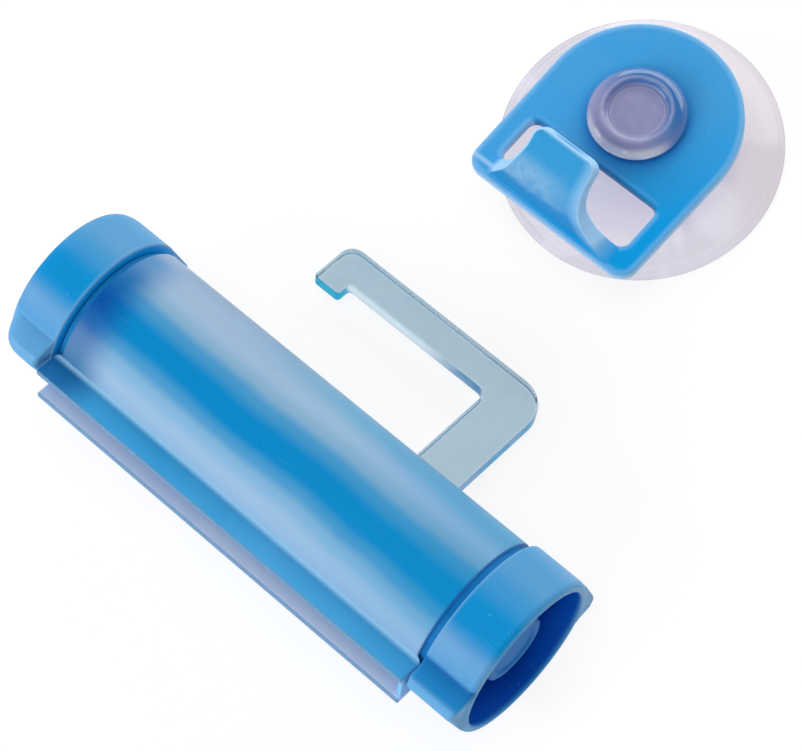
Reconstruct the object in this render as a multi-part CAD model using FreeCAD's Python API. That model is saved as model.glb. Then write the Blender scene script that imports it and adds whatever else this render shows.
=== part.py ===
import FreeCAD, Part
import math
import os

# Toothpaste tube winder with its suction-cup hanger, lying on a table.
# Row frame: +X along the barrel, +Z up, z = 0 the table, millimetres.
# Casing frame: the barrel's own frame, turned about the barrel axis by the rest tilt.

# fits and cutting
CUT_OVERRUN = 5.0
RUN_CLEARANCE = 0.05
AXIAL_CLEARANCE = 0.2

# where the two things lie
OVERALL_LENGTH = 115.0
BARREL_Y = -51.2
REST_TILT_DEG = 17.0
HANGER_X = 2.8
HANGER_Y = 43.8

# winding knobs
KNOB_RADIUS = 17.0
KNOB_LENGTH = 11.35
KNOB_WALL = 1.9
KNOB_WEB = 1.6
KNOB_INNER_ROUND = 0.4
KNOB_OUTER_ROUND = 1.3
KNOB_RIM_ROUND = 0.4
HUB_RADIUS = 7.1

# fins on the knobs
FIN_COUNT = 2
FIN_STAND = 4.0
FIN_TIP_DEG = 152.2
FIN_TIP_WIDTH_DEG = 6.2
FIN_INNER_STAND = 3.8
FIN_CREASE_DEG = 15.0
FIN_CREASE_DEPTH = 0.6
FIN_ROOT_DEPTH = 1.5
FIN_END_INSET = 0.3
FIN_INNER_CORNER_ROUND = 1.0
RIGHT_FIN_CORNER_ROUND = 1.8
LEFT_FIN_CORNER_ROUND = 5.0

# caps on the hubs
CAP_THICKNESS = 2.55
CAP_RECESS = 2.55
CAP_EDGE = 0.5
CAP_DIMPLE_RADIUS = 5.2
CAP_DIMPLE_DEPTH = 0.5

# casing
CASING_RADIUS = 16.1
CASING_WALL = 1.6
LIP_OVERHANG = 1.2
LIP_HALF_HEIGHT = 4.4
LIP_THICKNESS = 1.3
LIP_REACH = 20.8
LIP_ROOT_REACH = 12.0
LIP_EDGE_ROUND = 0.45
END_WALL = 1.1
END_WALL_SETBACK = 0.7

# end plates
COLLAR_STEP = 0.8
COLLAR_LENGTH = 1.45
COLLAR_LIP_GAP = 0.2
SPIGOT_LENGTH = 2.0
COLLAR_EDGE = 0.3

# winding roller
ROLLER_END_GAP = 0.5
JOURNAL_RADIUS = 5.2
STUB_RADIUS = 4.2
STUB_FLAT = 3.1
SLIT_WIDTH = 2.4
SLIT_END = 4.0
ROLLER_EDGE = 0.5

# hanging hook
HOOK_THICKNESS = 2.8
HOOK_ARM_LOW_X = 14.5
HOOK_ARM_HIGH_X = 25.0
HOOK_REACH = 45.8
HOOK_BAR_WIDTH = 7.5
HOOK_LEFT_X = -27.0
HOOK_TOOTH_WIDTH = 6.5
HOOK_TOOTH_DEPTH = 3.4
HOOK_OUTER_ROUND = 7.0
HOOK_INNER_ROUND = 2.0
HOOK_END_ROUND = 3.0
HOOK_TOOTH_ROUND = 0.8
HOOK_EDGE_ROUND = 0.4
PAD_THICKNESS = 1.0
PAD_MARGIN = 1.6
PAD_HALF_HEIGHT = 3.6

# suction cup
CUP_RADIUS = 28.15
CUP_RIM_HEIGHT = 0.8
CUP_RIM_LAND = 1.4
CUP_SHOULDER_RADIUS = 9.6
CUP_SHOULDER_HEIGHT = 11.1
CUP_MID_RADIUS = 20.0
CUP_MID_HEIGHT = 5.0
CUP_CORE_HEIGHT = 6.6
CUP_CORE_RADIUS = 5.0
CUP_INNER_MID_RADIUS = 18.0
CUP_INNER_MID_HEIGHT = 3.6
NECK_RADIUS = 5.6
HEAD_RADIUS = 9.75
HEAD_LOW = 14.6
HEAD_WIDE = 15.8
HEAD_TOP = 17.8
HEAD_CROWN_RADIUS = 7.3
HEAD_DISH_RADIUS = 6.2
HEAD_DISH_DEPTH = 1.3
HEAD_DISH_SLOPE = 0.6
HEAD_UNDER_ROUND = 0.6

# hanger plate
PLATE_BOTTOM = 11.5
PLATE_THICKNESS = 2.4
PLATE_RADIUS = 20.4
PLATE_BAR_REACH = 27.85
PLATE_CORNER_X = 17.7
PLATE_CORNER_ROUND = 2.4
PLATE_EDGE_ROUND = 0.7
WINDOW_HALF_WIDTH = 15.6
WINDOW_NEAR = 12.3
WINDOW_FAR = 22.8
WINDOW_ROUND = 2.0

# curled tongue of the hanger
TONGUE_THICKNESS = 3.2
TONGUE_HALF_WIDTH = 7.3
TONGUE_OFF_CENTRE = 1.75
TONGUE_BASE_HALF_WIDTH = 15.5
TONGUE_FLARE_HEIGHT = 9.8
TONGUE_BEND_OUT = 4.2
TONGUE_BEND_UP = 2.3
TONGUE_CORNER_ROUND = 2.2
TONGUE_START_Y = -24.7
TONGUE_START_Z = 0.2
TONGUE_LOW_Y = -24.6
TONGUE_LOW_Z = 3.3
TONGUE_MID_Y = -23.65
TONGUE_MID_Z = 6.9
TONGUE_BEND_Y = -21.35
TONGUE_BEND_Z = 9.8
TONGUE_CREST_Y = -18.9
TONGUE_CREST_Z = 11.95
TONGUE_TIP_Y = -16.5
TONGUE_TIP_Z = 13.85

X_DIR = FreeCAD.Vector(1, 0, 0)
Y_DIR = FreeCAD.Vector(0, 1, 0)
Z_DIR = FreeCAD.Vector(0, 0, 1)
ORIGIN = FreeCAD.Vector(0, 0, 0)

HALF_LENGTH = OVERALL_LENGTH / 2
KNOB_INNER_X = HALF_LENGTH - KNOB_LENGTH
COLLAR_OUTER_X = KNOB_INNER_X - AXIAL_CLEARANCE
CASING_HALF_LENGTH = COLLAR_OUTER_X - COLLAR_LENGTH
CASING_BORE = CASING_RADIUS - CASING_WALL
LIP_HALF_LENGTH = CASING_HALF_LENGTH + LIP_OVERHANG
COLLAR_RADIUS = CASING_RADIUS - COLLAR_STEP
ROLLER_HALF_LENGTH = CASING_HALF_LENGTH - SPIGOT_LENGTH - ROLLER_END_GAP
SLIT_HALF_LENGTH = ROLLER_HALF_LENGTH - SLIT_END
KNOB_CUP_RADIUS = KNOB_RADIUS - KNOB_WALL
FIN_TIP_RADIUS = KNOB_RADIUS + FIN_STAND
FIN_INNER_TIP_RADIUS = KNOB_RADIUS + FIN_INNER_STAND
CAP_OUTER_X = HALF_LENGTH - CAP_RECESS
CAP_INNER_X = CAP_OUTER_X - CAP_THICKNESS
REST_TILT = math.radians(REST_TILT_DEG)
# the hook's far lower edge touches the table
HOOK_BOTTOM = (HOOK_REACH * math.sin(REST_TILT) - KNOB_RADIUS) / math.cos(REST_TILT)


def vec(x, y, z):
    return FreeCAD.Vector(x, y, z)


def cylinder_x(radius, x_low, x_high):
    return Part.makeCylinder(radius, x_high - x_low, vec(x_low, 0, 0), X_DIR)


def box_between(low, high):
    return Part.makeBox(high.x - low.x, high.y - low.y, high.z - low.z, low)


def edges_where(shape, test):
    chosen = []
    for edge in shape.Edges:
        if test(edge):
            chosen.append(edge)
    return chosen


def on_plane_x(edge, x):
    tolerance = RUN_CLEARANCE
    box = edge.BoundBox
    return abs(box.XMin - x) < tolerance and abs(box.XMax - x) < tolerance


def on_one_x(edge):
    return edge.BoundBox.XLength < RUN_CLEARANCE


def on_plane_z(edge, z):
    tolerance = RUN_CLEARANCE
    box = edge.BoundBox
    return abs(box.ZMin - z) < tolerance and abs(box.ZMax - z) < tolerance


def polar(radius, degrees):
    angle = math.radians(degrees)
    return vec(0, radius * math.cos(angle), radius * math.sin(angle))


def at_x(point, x):
    return vec(x, point.y, point.z)


# the casing's own pieces are modelled level and then tilted to the rest pose
def lay_casing(shape):
    shape.rotate(ORIGIN, X_DIR, -REST_TILT_DEG)
    return lay_winder(shape)


# what is round about the barrel axis only has to be lifted and moved
def lay_winder(shape):
    shape.translate(vec(0, BARREL_Y, KNOB_RADIUS))
    return shape


def lay_hanger(shape):
    shape.translate(vec(HANGER_X, HANGER_Y, 0))
    return shape


def mirror_x(shape):
    return shape.mirror(ORIGIN, X_DIR)


# casing: a tube with a long mouth between two flat lips
def lip(side):
    outer = side * LIP_HALF_HEIGHT
    inner = side * (LIP_HALF_HEIGHT - LIP_THICKNESS)
    low_z = min(outer, inner)
    high_z = max(outer, inner)
    low = vec(-LIP_HALF_LENGTH, -LIP_REACH, low_z)
    high = vec(LIP_HALF_LENGTH, -LIP_ROOT_REACH, high_z)
    strip = box_between(low, high)
    free = edges_where(strip, lambda e: e.BoundBox.YMax < -LIP_REACH + RUN_CLEARANCE
                       and e.BoundBox.XLength > CASING_HALF_LENGTH)
    return strip.makeFillet(LIP_EDGE_ROUND, free)


def mouth_end_wall():
    half_gap = LIP_HALF_HEIGHT - LIP_THICKNESS / 2
    low = vec(LIP_HALF_LENGTH - END_WALL, -LIP_REACH + END_WALL_SETBACK, -half_gap)
    high = vec(LIP_HALF_LENGTH, -LIP_ROOT_REACH, half_gap)
    return box_between(low, high)


def casing():
    tube = cylinder_x(CASING_RADIUS, -CASING_HALF_LENGTH, CASING_HALF_LENGTH)
    half_gap = LIP_HALF_HEIGHT - LIP_THICKNESS
    bore_end = CASING_HALF_LENGTH + CUT_OVERRUN
    bore = cylinder_x(CASING_BORE, -bore_end, bore_end)
    low = vec(-bore_end, -CASING_RADIUS - CUT_OVERRUN, -half_gap)
    high = vec(bore_end, -LIP_ROOT_REACH, half_gap)
    mouth = box_between(low, high)
    body = tube.cut(mouth)
    body = body.fuse([lip(1), lip(-1), mouth_end_wall()])
    beside_collar = cylinder_x(COLLAR_RADIUS + COLLAR_LIP_GAP, CASING_HALF_LENGTH, bore_end)
    body = body.cut([bore, beside_collar, mirror_x(beside_collar)])
    return lay_casing(body.removeSplitter())


# end plates: a collar against the casing's end and a spigot in its bore
def end_plate():
    collar = cylinder_x(COLLAR_RADIUS, CASING_HALF_LENGTH, COLLAR_OUTER_X)
    rim = edges_where(collar, lambda e: on_plane_x(e, COLLAR_OUTER_X))
    collar = collar.makeChamfer(COLLAR_EDGE, rim)
    spigot = cylinder_x(CASING_BORE, CASING_HALF_LENGTH - SPIGOT_LENGTH, CASING_HALF_LENGTH)
    body = collar.fuse(spigot)
    bore_radius = JOURNAL_RADIUS + RUN_CLEARANCE
    bore = cylinder_x(bore_radius, 0, COLLAR_OUTER_X + CUT_OVERRUN)
    return body.cut(bore).removeSplitter()


# winding roller: slit core, two journals and two flatted stubs for the knobs
def stub(x_low, x_high):
    rod = cylinder_x(STUB_RADIUS, x_low, x_high)
    low = vec(x_low - CUT_OVERRUN, -STUB_RADIUS - CUT_OVERRUN, STUB_FLAT)
    high = vec(x_high + CUT_OVERRUN, STUB_RADIUS + CUT_OVERRUN, STUB_RADIUS + CUT_OVERRUN)
    return rod.cut(box_between(low, high))


def roller():
    core = cylinder_x(HUB_RADIUS, -ROLLER_HALF_LENGTH, ROLLER_HALF_LENGTH)
    ends = edges_where(core, lambda e: on_plane_x(e, ROLLER_HALF_LENGTH)
                       or on_plane_x(e, -ROLLER_HALF_LENGTH))
    core = core.makeChamfer(ROLLER_EDGE, ends)
    low = vec(-SLIT_HALF_LENGTH, -HUB_RADIUS - CUT_OVERRUN, -SLIT_WIDTH / 2)
    high = vec(SLIT_HALF_LENGTH, HUB_RADIUS + CUT_OVERRUN, SLIT_WIDTH / 2)
    core = core.cut(box_between(low, high))
    journal = cylinder_x(JOURNAL_RADIUS, ROLLER_HALF_LENGTH, KNOB_INNER_X)
    drive = stub(KNOB_INNER_X, CAP_INNER_X)
    right = journal.fuse(drive)
    left = mirror_x(right)
    return lay_winder(core.fuse([right, left]).removeSplitter())


# one fin: a flat face tangent to the ring, a blunt tip and a hollow back to the ring
def fin(turn_deg, outer_round):
    lead = math.degrees(math.acos(KNOB_RADIUS / FIN_TIP_RADIUS))
    tip = FIN_TIP_DEG + turn_deg
    inner_tip_deg = tip - FIN_TIP_WIDTH_DEG
    crease_deg = tip - FIN_CREASE_DEG
    root_radius = KNOB_RADIUS - FIN_ROOT_DEPTH
    x_low = KNOB_INNER_X + FIN_END_INSET
    x_high = HALF_LENGTH - FIN_END_INSET
    start = at_x(polar(KNOB_RADIUS, tip + lead), x_low)
    outer = at_x(polar(FIN_TIP_RADIUS, tip), x_low)
    inner = at_x(polar(FIN_INNER_TIP_RADIUS, inner_tip_deg), x_low)
    crease = at_x(polar(KNOB_RADIUS, crease_deg), x_low)
    middle = (inner + crease) / 2
    middle = middle - (at_x(middle, 0) * (FIN_CREASE_DEPTH / at_x(middle, 0).Length))
    root_a = at_x(polar(root_radius, crease_deg), x_low)
    root_b = at_x(polar(root_radius, tip + lead / 2), x_low)
    root_c = at_x(polar(root_radius, tip + lead), x_low)
    hollow = Part.Arc(inner, middle, crease).toShape()
    lines = Part.makePolygon([crease, root_a, root_b, root_c, start, outer, inner])
    wire = Part.Wire(lines.Edges + [hollow])
    solid = Part.Face(wire).extrude(vec(x_high - x_low, 0, 0))
    reach = FIN_INNER_TIP_RADIUS - RUN_CLEARANCE
    near_corner = edges_where(solid, lambda e: on_plane_x(e, x_low) and far_out(e, reach))
    solid = solid.makeFillet(FIN_INNER_CORNER_ROUND, near_corner)
    far_corner = edges_where(solid, lambda e: on_plane_x(e, x_high) and far_out(e, reach))
    return solid.makeFillet(outer_round, far_corner)


def far_out(edge, reach):
    for vertex in edge.Vertexes:
        if math.hypot(vertex.Y, vertex.Z) < reach:
            return False
    return True


# knob: an open cup with a web, a hub for the roller's stub and two fins
def knob(fin_round):
    ring = cylinder_x(KNOB_RADIUS, KNOB_INNER_X, HALF_LENGTH)
    inner_rim = edges_where(ring, lambda e: on_plane_x(e, KNOB_INNER_X))
    ring = ring.makeFillet(KNOB_INNER_ROUND, inner_rim)
    outer_rim = edges_where(ring, lambda e: on_plane_x(e, HALF_LENGTH))
    ring = ring.makeFillet(KNOB_OUTER_ROUND, outer_rim)
    fins = []
    for index in range(FIN_COUNT):
        fins.append(fin(index * 360 / FIN_COUNT, fin_round))
    body = ring.fuse(fins)
    web_x = KNOB_INNER_X + KNOB_WEB
    cup = cylinder_x(KNOB_CUP_RADIUS, web_x, HALF_LENGTH + CUT_OVERRUN)
    hub = cylinder_x(HUB_RADIUS, KNOB_INNER_X, CAP_INNER_X)
    body = body.cut(cup)
    rim_reach = KNOB_CUP_RADIUS + KNOB_RIM_ROUND
    mouth = edges_where(body, lambda e: on_plane_x(e, HALF_LENGTH) and not far_out(e, rim_reach))
    body = body.makeFillet(KNOB_RIM_ROUND, mouth).fuse(hub)
    body = body.cut(stub(KNOB_INNER_X - CUT_OVERRUN, CAP_INNER_X + CUT_OVERRUN))
    return body.removeSplitter()


def cap():
    disc = cylinder_x(HUB_RADIUS, CAP_INNER_X, CAP_OUTER_X)
    rim = edges_where(disc, lambda e: on_plane_x(e, CAP_OUTER_X))
    disc = disc.makeFillet(CAP_EDGE, rim)
    dimple = cylinder_x(CAP_DIMPLE_RADIUS, CAP_OUTER_X - CAP_DIMPLE_DEPTH, HALF_LENGTH)
    return disc.cut(dimple)


# hanging hook: a flat J-shaped plate on a curved pad
def hook_outline():
    y_out = HOOK_REACH
    y_in = HOOK_REACH - HOOK_BAR_WIDTH
    tooth_x = HOOK_LEFT_X + HOOK_TOOTH_WIDTH
    tooth_y = y_in - HOOK_TOOTH_DEPTH
    z = HOOK_BOTTOM
    points = [vec(HOOK_ARM_HIGH_X, 0, z), vec(HOOK_ARM_HIGH_X, y_out, z)]
    points += [vec(HOOK_LEFT_X, y_out, z), vec(HOOK_LEFT_X, tooth_y, z)]
    points += [vec(tooth_x, tooth_y, z), vec(tooth_x, y_in, z)]
    points += [vec(HOOK_ARM_LOW_X, y_in, z), vec(HOOK_ARM_LOW_X, 0, z)]
    points += [vec(HOOK_ARM_HIGH_X, 0, z)]
    return Part.Face(Part.makePolygon(points))


def upright_at(shape, x, y):
    near = RUN_CLEARANCE
    def test(edge):
        box = edge.BoundBox
        return box.ZLength > near and abs(box.Center.x - x) < near and abs(box.Center.y - y) < near
    return edges_where(shape, test)


def round_hook(plate):
    y_in = HOOK_REACH - HOOK_BAR_WIDTH
    tooth_x = HOOK_LEFT_X + HOOK_TOOTH_WIDTH
    tooth_y = y_in - HOOK_TOOTH_DEPTH
    corners = [(HOOK_ARM_HIGH_X, HOOK_REACH, HOOK_OUTER_ROUND)]
    corners += [(HOOK_LEFT_X, HOOK_REACH, HOOK_END_ROUND)]
    corners += [(HOOK_ARM_LOW_X, y_in, HOOK_INNER_ROUND)]
    corners += [(HOOK_LEFT_X, tooth_y, HOOK_TOOTH_ROUND)]
    corners += [(tooth_x, tooth_y, HOOK_TOOTH_ROUND)]
    corners += [(tooth_x, y_in, HOOK_TOOTH_ROUND)]
    for x, y, radius in corners:
        plate = plate.makeFillet(radius, upright_at(plate, x, y))
    top = HOOK_BOTTOM + HOOK_THICKNESS
    rims = edges_where(plate, lambda e: (on_plane_z(e, top) or on_plane_z(e, HOOK_BOTTOM))
                       and e.BoundBox.YMax > RUN_CLEARANCE)
    return plate.makeFillet(HOOK_EDGE_ROUND, rims)


def hook_pad():
    x_low = HOOK_ARM_LOW_X - PAD_MARGIN
    x_high = HOOK_ARM_HIGH_X + PAD_MARGIN
    skin = cylinder_x(CASING_RADIUS + PAD_THICKNESS, x_low, x_high)
    middle = HOOK_BOTTOM + HOOK_THICKNESS / 2
    low = vec(x_low, 0, middle - PAD_HALF_HEIGHT)
    high = vec(x_high, CASING_RADIUS + CUT_OVERRUN, middle + PAD_HALF_HEIGHT)
    return skin.common(box_between(low, high))


def hook():
    plate = hook_outline().extrude(vec(0, 0, HOOK_THICKNESS))
    plate = round_hook(plate)
    body = plate.fuse(hook_pad())
    body = body.cut(cylinder_x(CASING_RADIUS, -HALF_LENGTH, HALF_LENGTH))
    return lay_casing(body.removeSplitter())


# suction cup: dome, neck and mushroom head moulded in one
def cup_profile():
    rim_in = CUP_RADIUS - CUP_RIM_LAND
    outer = Part.BSplineCurve()
    outer.interpolate([vec(CUP_RADIUS, 0, CUP_RIM_HEIGHT),
                       vec(CUP_MID_RADIUS, 0, CUP_MID_HEIGHT),
                       vec(CUP_SHOULDER_RADIUS, 0, CUP_SHOULDER_HEIGHT)])
    inner = Part.BSplineCurve()
    inner.interpolate([vec(CUP_CORE_RADIUS, 0, CUP_CORE_HEIGHT),
                       vec(CUP_INNER_MID_RADIUS, 0, CUP_INNER_MID_HEIGHT),
                       vec(rim_in, 0, 0)])
    dish_low = HEAD_TOP - HEAD_DISH_DEPTH
    points = [vec(CUP_SHOULDER_RADIUS, 0, CUP_SHOULDER_HEIGHT)]
    points += [vec(NECK_RADIUS, 0, CUP_SHOULDER_HEIGHT), vec(NECK_RADIUS, 0, HEAD_LOW)]
    points += [vec(HEAD_RADIUS - HEAD_UNDER_ROUND, 0, HEAD_LOW)]
    points += [vec(HEAD_RADIUS, 0, HEAD_LOW + HEAD_UNDER_ROUND)]
    points += [vec(HEAD_RADIUS, 0, HEAD_WIDE)]
    crown_mid = vec((HEAD_RADIUS + HEAD_CROWN_RADIUS) / 2 + HEAD_DISH_SLOPE, 0,
                    HEAD_TOP - HEAD_DISH_DEPTH / 2)
    crown = Part.Arc(vec(HEAD_RADIUS, 0, HEAD_WIDE), crown_mid, vec(HEAD_CROWN_RADIUS, 0, HEAD_TOP))
    top = [vec(HEAD_CROWN_RADIUS, 0, HEAD_TOP), vec(HEAD_DISH_RADIUS, 0, HEAD_TOP)]
    top += [vec(HEAD_DISH_RADIUS - HEAD_DISH_SLOPE, 0, dish_low), vec(0, 0, dish_low)]
    top += [vec(0, 0, CUP_CORE_HEIGHT), vec(CUP_CORE_RADIUS, 0, CUP_CORE_HEIGHT)]
    rim = [vec(rim_in, 0, 0), vec(CUP_RADIUS, 0, 0), vec(CUP_RADIUS, 0, CUP_RIM_HEIGHT)]
    edges = [outer.toShape()] + Part.makePolygon(points).Edges + [crown.toShape()]
    edges += Part.makePolygon(top).Edges + [inner.toShape()] + Part.makePolygon(rim).Edges
    return Part.Face(Part.Wire(Part.__sortEdges__(edges)))


def suction_cup():
    body = cup_profile().revolve(ORIGIN, Z_DIR, 360)
    return lay_hanger(Part.Solid(body) if body.ShapeType == "Shell" else body)


# hanger plate: rounded outline with a window, a neck hole and a curled tongue
def plate_side(side):
    corner = vec(side * PLATE_CORNER_X, -PLATE_BAR_REACH + PLATE_CORNER_ROUND, 0)
    spread = math.acos((PLATE_RADIUS - PLATE_CORNER_ROUND) / corner.Length)
    angle = math.atan2(corner.y, abs(corner.x)) + spread
    normal = vec(side * math.cos(angle), math.sin(angle), 0)
    return normal * PLATE_RADIUS, corner + normal * PLATE_CORNER_ROUND, corner


def plate_outline():
    right_top, right_low, right_corner = plate_side(1)
    left_top, left_low, left_corner = plate_side(-1)
    share = math.sqrt(1 / 2)
    right_mid = right_corner + vec(share, -share, 0) * PLATE_CORNER_ROUND
    left_mid = left_corner + vec(-share, -share, 0) * PLATE_CORNER_ROUND
    right_end = right_corner - Y_DIR * PLATE_CORNER_ROUND
    left_end = left_corner - Y_DIR * PLATE_CORNER_ROUND
    edges = [Part.Arc(right_top, Y_DIR * PLATE_RADIUS, left_top).toShape()]
    edges += [Part.makeLine(left_top, left_low), Part.Arc(left_low, left_mid, left_end).toShape()]
    edges += [Part.makeLine(left_end, right_end)]
    edges += [Part.Arc(right_end, right_mid, right_low).toShape(), Part.makeLine(right_low, right_top)]
    return Part.Face(Part.Wire(Part.__sortEdges__(edges)))


def window():
    low = vec(-WINDOW_HALF_WIDTH, -WINDOW_FAR, -CUT_OVERRUN)
    high = vec(WINDOW_HALF_WIDTH, -WINDOW_NEAR, CUT_OVERRUN + PLATE_THICKNESS)
    block = box_between(low, high)
    uprights = edges_where(block, lambda e: e.BoundBox.ZLength > CUT_OVERRUN)
    return block.makeFillet(WINDOW_ROUND, uprights)


def tongue_centreline():
    return [vec(0, TONGUE_START_Y, TONGUE_START_Z), vec(0, TONGUE_LOW_Y, TONGUE_LOW_Z),
            vec(0, TONGUE_MID_Y, TONGUE_MID_Z), vec(0, TONGUE_BEND_Y, TONGUE_BEND_Z),
            vec(0, TONGUE_CREST_Y, TONGUE_CREST_Z), vec(0, TONGUE_TIP_Y, TONGUE_TIP_Z)]


def offset_points(points, amount):
    moved = []
    last = len(points) - 1
    for index, point in enumerate(points):
        before = points[max(index - 1, 0)]
        after = points[min(index + 1, last)]
        along = (after - before).normalize()
        moved.append(point + vec(0, -along.z, along.y) * amount)
    return moved


def tongue():
    line = tongue_centreline()
    outer_points = offset_points(line, TONGUE_THICKNESS / 2)
    inner_points = offset_points(line, -TONGUE_THICKNESS / 2)
    outer = Part.BSplineCurve()
    outer.interpolate(outer_points)
    inner = Part.BSplineCurve()
    inner.interpolate(inner_points)
    ends = [Part.makeLine(outer_points[0], inner_points[0])]
    ends += [Part.makeLine(outer_points[-1], inner_points[-1])]
    wire = Part.Wire(Part.__sortEdges__([outer.toShape(), inner.toShape()] + ends))
    strip = Part.Face(wire)
    strip.translate(vec(-TONGUE_BASE_HALF_WIDTH, 0, 0))
    strip = strip.extrude(vec(TONGUE_BASE_HALF_WIDTH * 2, 0, 0))
    strip.translate(vec(0, 0, PLATE_THICKNESS / 2))
    sheet = strip.common(tongue_front())
    tip_low = min(outer_points[-1].z, inner_points[-1].z) + PLATE_THICKNESS / 2 - RUN_CLEARANCE
    corners = edges_where(sheet, lambda e: on_one_x(e) and e.BoundBox.ZMin > tip_low
                          and e.BoundBox.YLength > RUN_CLEARANCE)
    return sheet.makeFillet(TONGUE_CORNER_ROUND, corners)


# the tongue's front view: flared at the bar, then straight sides
def tongue_front():
    top = TONGUE_TIP_Z + TONGUE_THICKNESS + CUT_OVERRUN
    y = -PLATE_BAR_REACH - CUT_OVERRUN
    depth = PLATE_BAR_REACH + CUT_OVERRUN
    base = PLATE_THICKNESS
    edges = []
    for side in (1, -1):
        side_x = side * TONGUE_HALF_WIDTH - TONGUE_OFF_CENTRE
        foot_x = side * TONGUE_BASE_HALF_WIDTH
        foot = vec(foot_x, y, base)
        waist = vec(side_x, y, base + TONGUE_FLARE_HEIGHT)
        bend = vec(side_x + side * TONGUE_BEND_OUT, y, base + TONGUE_BEND_UP)
        edges += [Part.makeLine(vec(foot_x, y, 0), foot)]
        edges += [Part.Arc(foot, bend, waist).toShape()]
        edges += [Part.makeLine(waist, vec(side_x, y, top))]
        edges += [Part.makeLine(vec(side_x, y, top), vec(-TONGUE_OFF_CENTRE, y, top))]
        edges += [Part.makeLine(vec(foot_x, y, 0), vec(0, y, 0))]
    return Part.Face(Part.Wire(Part.__sortEdges__(edges))).extrude(vec(0, depth, 0))


def hanger_plate():
    plate = plate_outline().extrude(vec(0, 0, PLATE_THICKNESS))
    rims = edges_where(plate, lambda e: on_plane_z(e, 0) or on_plane_z(e, PLATE_THICKNESS))
    plate = plate.makeFillet(PLATE_EDGE_ROUND, rims)
    plate = plate.cut(window())
    hole = Part.makeCylinder(NECK_RADIUS + RUN_CLEARANCE, PLATE_THICKNESS + CUT_OVERRUN * 2,
                             vec(0, 0, -CUT_OVERRUN), Z_DIR)
    body = plate.cut(hole).fuse(tongue()).removeSplitter()
    body.translate(vec(0, 0, PLATE_BOTTOM))
    return lay_hanger(body)


def save(shape, node):
    shape.exportStep("parts/" + node + ".step")


def main():
    os.makedirs("parts", exist_ok=True)
    save(casing(), "casing")
    save(lay_casing(end_plate()), "right_end_plate")
    save(lay_casing(mirror_x(end_plate())), "left_end_plate")
    save(hook(), "hanging_hook")
    save(roller(), "winding_roller")
    save(lay_winder(knob(RIGHT_FIN_CORNER_ROUND)), "right_knob")
    save(lay_winder(mirror_x(knob(LEFT_FIN_CORNER_ROUND))), "left_knob")
    save(lay_winder(cap()), "right_cap")
    save(lay_winder(mirror_x(cap())), "left_cap")
    save(suction_cup(), "suction_cup")
    save(hanger_plate(), "hanger_plate")


main()
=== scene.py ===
import math

import bpy
import numpy as np
from bpy.props import FloatProperty, FloatVectorProperty, PointerProperty
from mathutils import Matrix, Vector
from mathutils.geometry import tessellate_polygon


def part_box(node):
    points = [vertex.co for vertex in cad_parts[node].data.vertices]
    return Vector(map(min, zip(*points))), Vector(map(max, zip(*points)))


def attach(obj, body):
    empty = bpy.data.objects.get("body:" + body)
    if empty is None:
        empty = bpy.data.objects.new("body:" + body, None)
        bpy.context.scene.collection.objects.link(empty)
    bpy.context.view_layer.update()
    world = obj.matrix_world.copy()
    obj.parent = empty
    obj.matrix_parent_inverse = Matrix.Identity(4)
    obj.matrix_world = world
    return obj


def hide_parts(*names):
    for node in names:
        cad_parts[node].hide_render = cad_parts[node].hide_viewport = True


bl_info = {
    "name": "Toothpaste Tube Winder",
    "version": (1, 0, 0),
    "blender": (4, 5, 0),
    "location": "3D View > Sidebar > Winder",
    "description": "Builds a roll-up tube winder, its suction-cup hanger and a plain studio round them",
    "category": "Object",
}

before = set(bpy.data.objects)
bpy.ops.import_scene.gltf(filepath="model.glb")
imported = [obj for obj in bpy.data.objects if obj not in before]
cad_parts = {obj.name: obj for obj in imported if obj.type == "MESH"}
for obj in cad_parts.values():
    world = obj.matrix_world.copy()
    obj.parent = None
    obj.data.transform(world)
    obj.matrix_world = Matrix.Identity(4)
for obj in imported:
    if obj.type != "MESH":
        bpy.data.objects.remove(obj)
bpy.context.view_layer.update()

# Places read from the frame, and sizes, in millimetres.
MM = 0.001
KNOB_LOW, KNOB_HIGH = (np.array(corner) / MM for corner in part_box("right_knob"))
CAP_LOW, CAP_HIGH = (np.array(corner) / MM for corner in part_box("right_cap"))
CUP_LOW, CUP_HIGH = (np.array(corner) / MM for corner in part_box("suction_cup"))
BARREL = (CAP_LOW + CAP_HIGH) / 2 * np.array([0, 1, 1])
HANGER = (CUP_LOW + CUP_HIGH) / 2 * np.array([1, 1, 0])
REST_TILT = math.radians(17.0)

# Casing.
CASING_RADIUS = 16.1
CASING_BORE = 14.5
CASING_HALF_LENGTH = 44.5
LIP_HALF_LENGTH = 45.7
LIP_HALF_HEIGHT = 4.4
LIP_HALF_GAP = 3.1
LIP_REACH = 20.74
LIP_ROOT = math.sqrt(CASING_RADIUS ** 2 - LIP_HALF_HEIGHT ** 2)
LONG_END_START = 15.2
MOUTH_START = 15.3
CASING_CORNER_BLUR = 0.32
END_WALL = 1.1
END_WALL_SETBACK = 0.7

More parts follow.
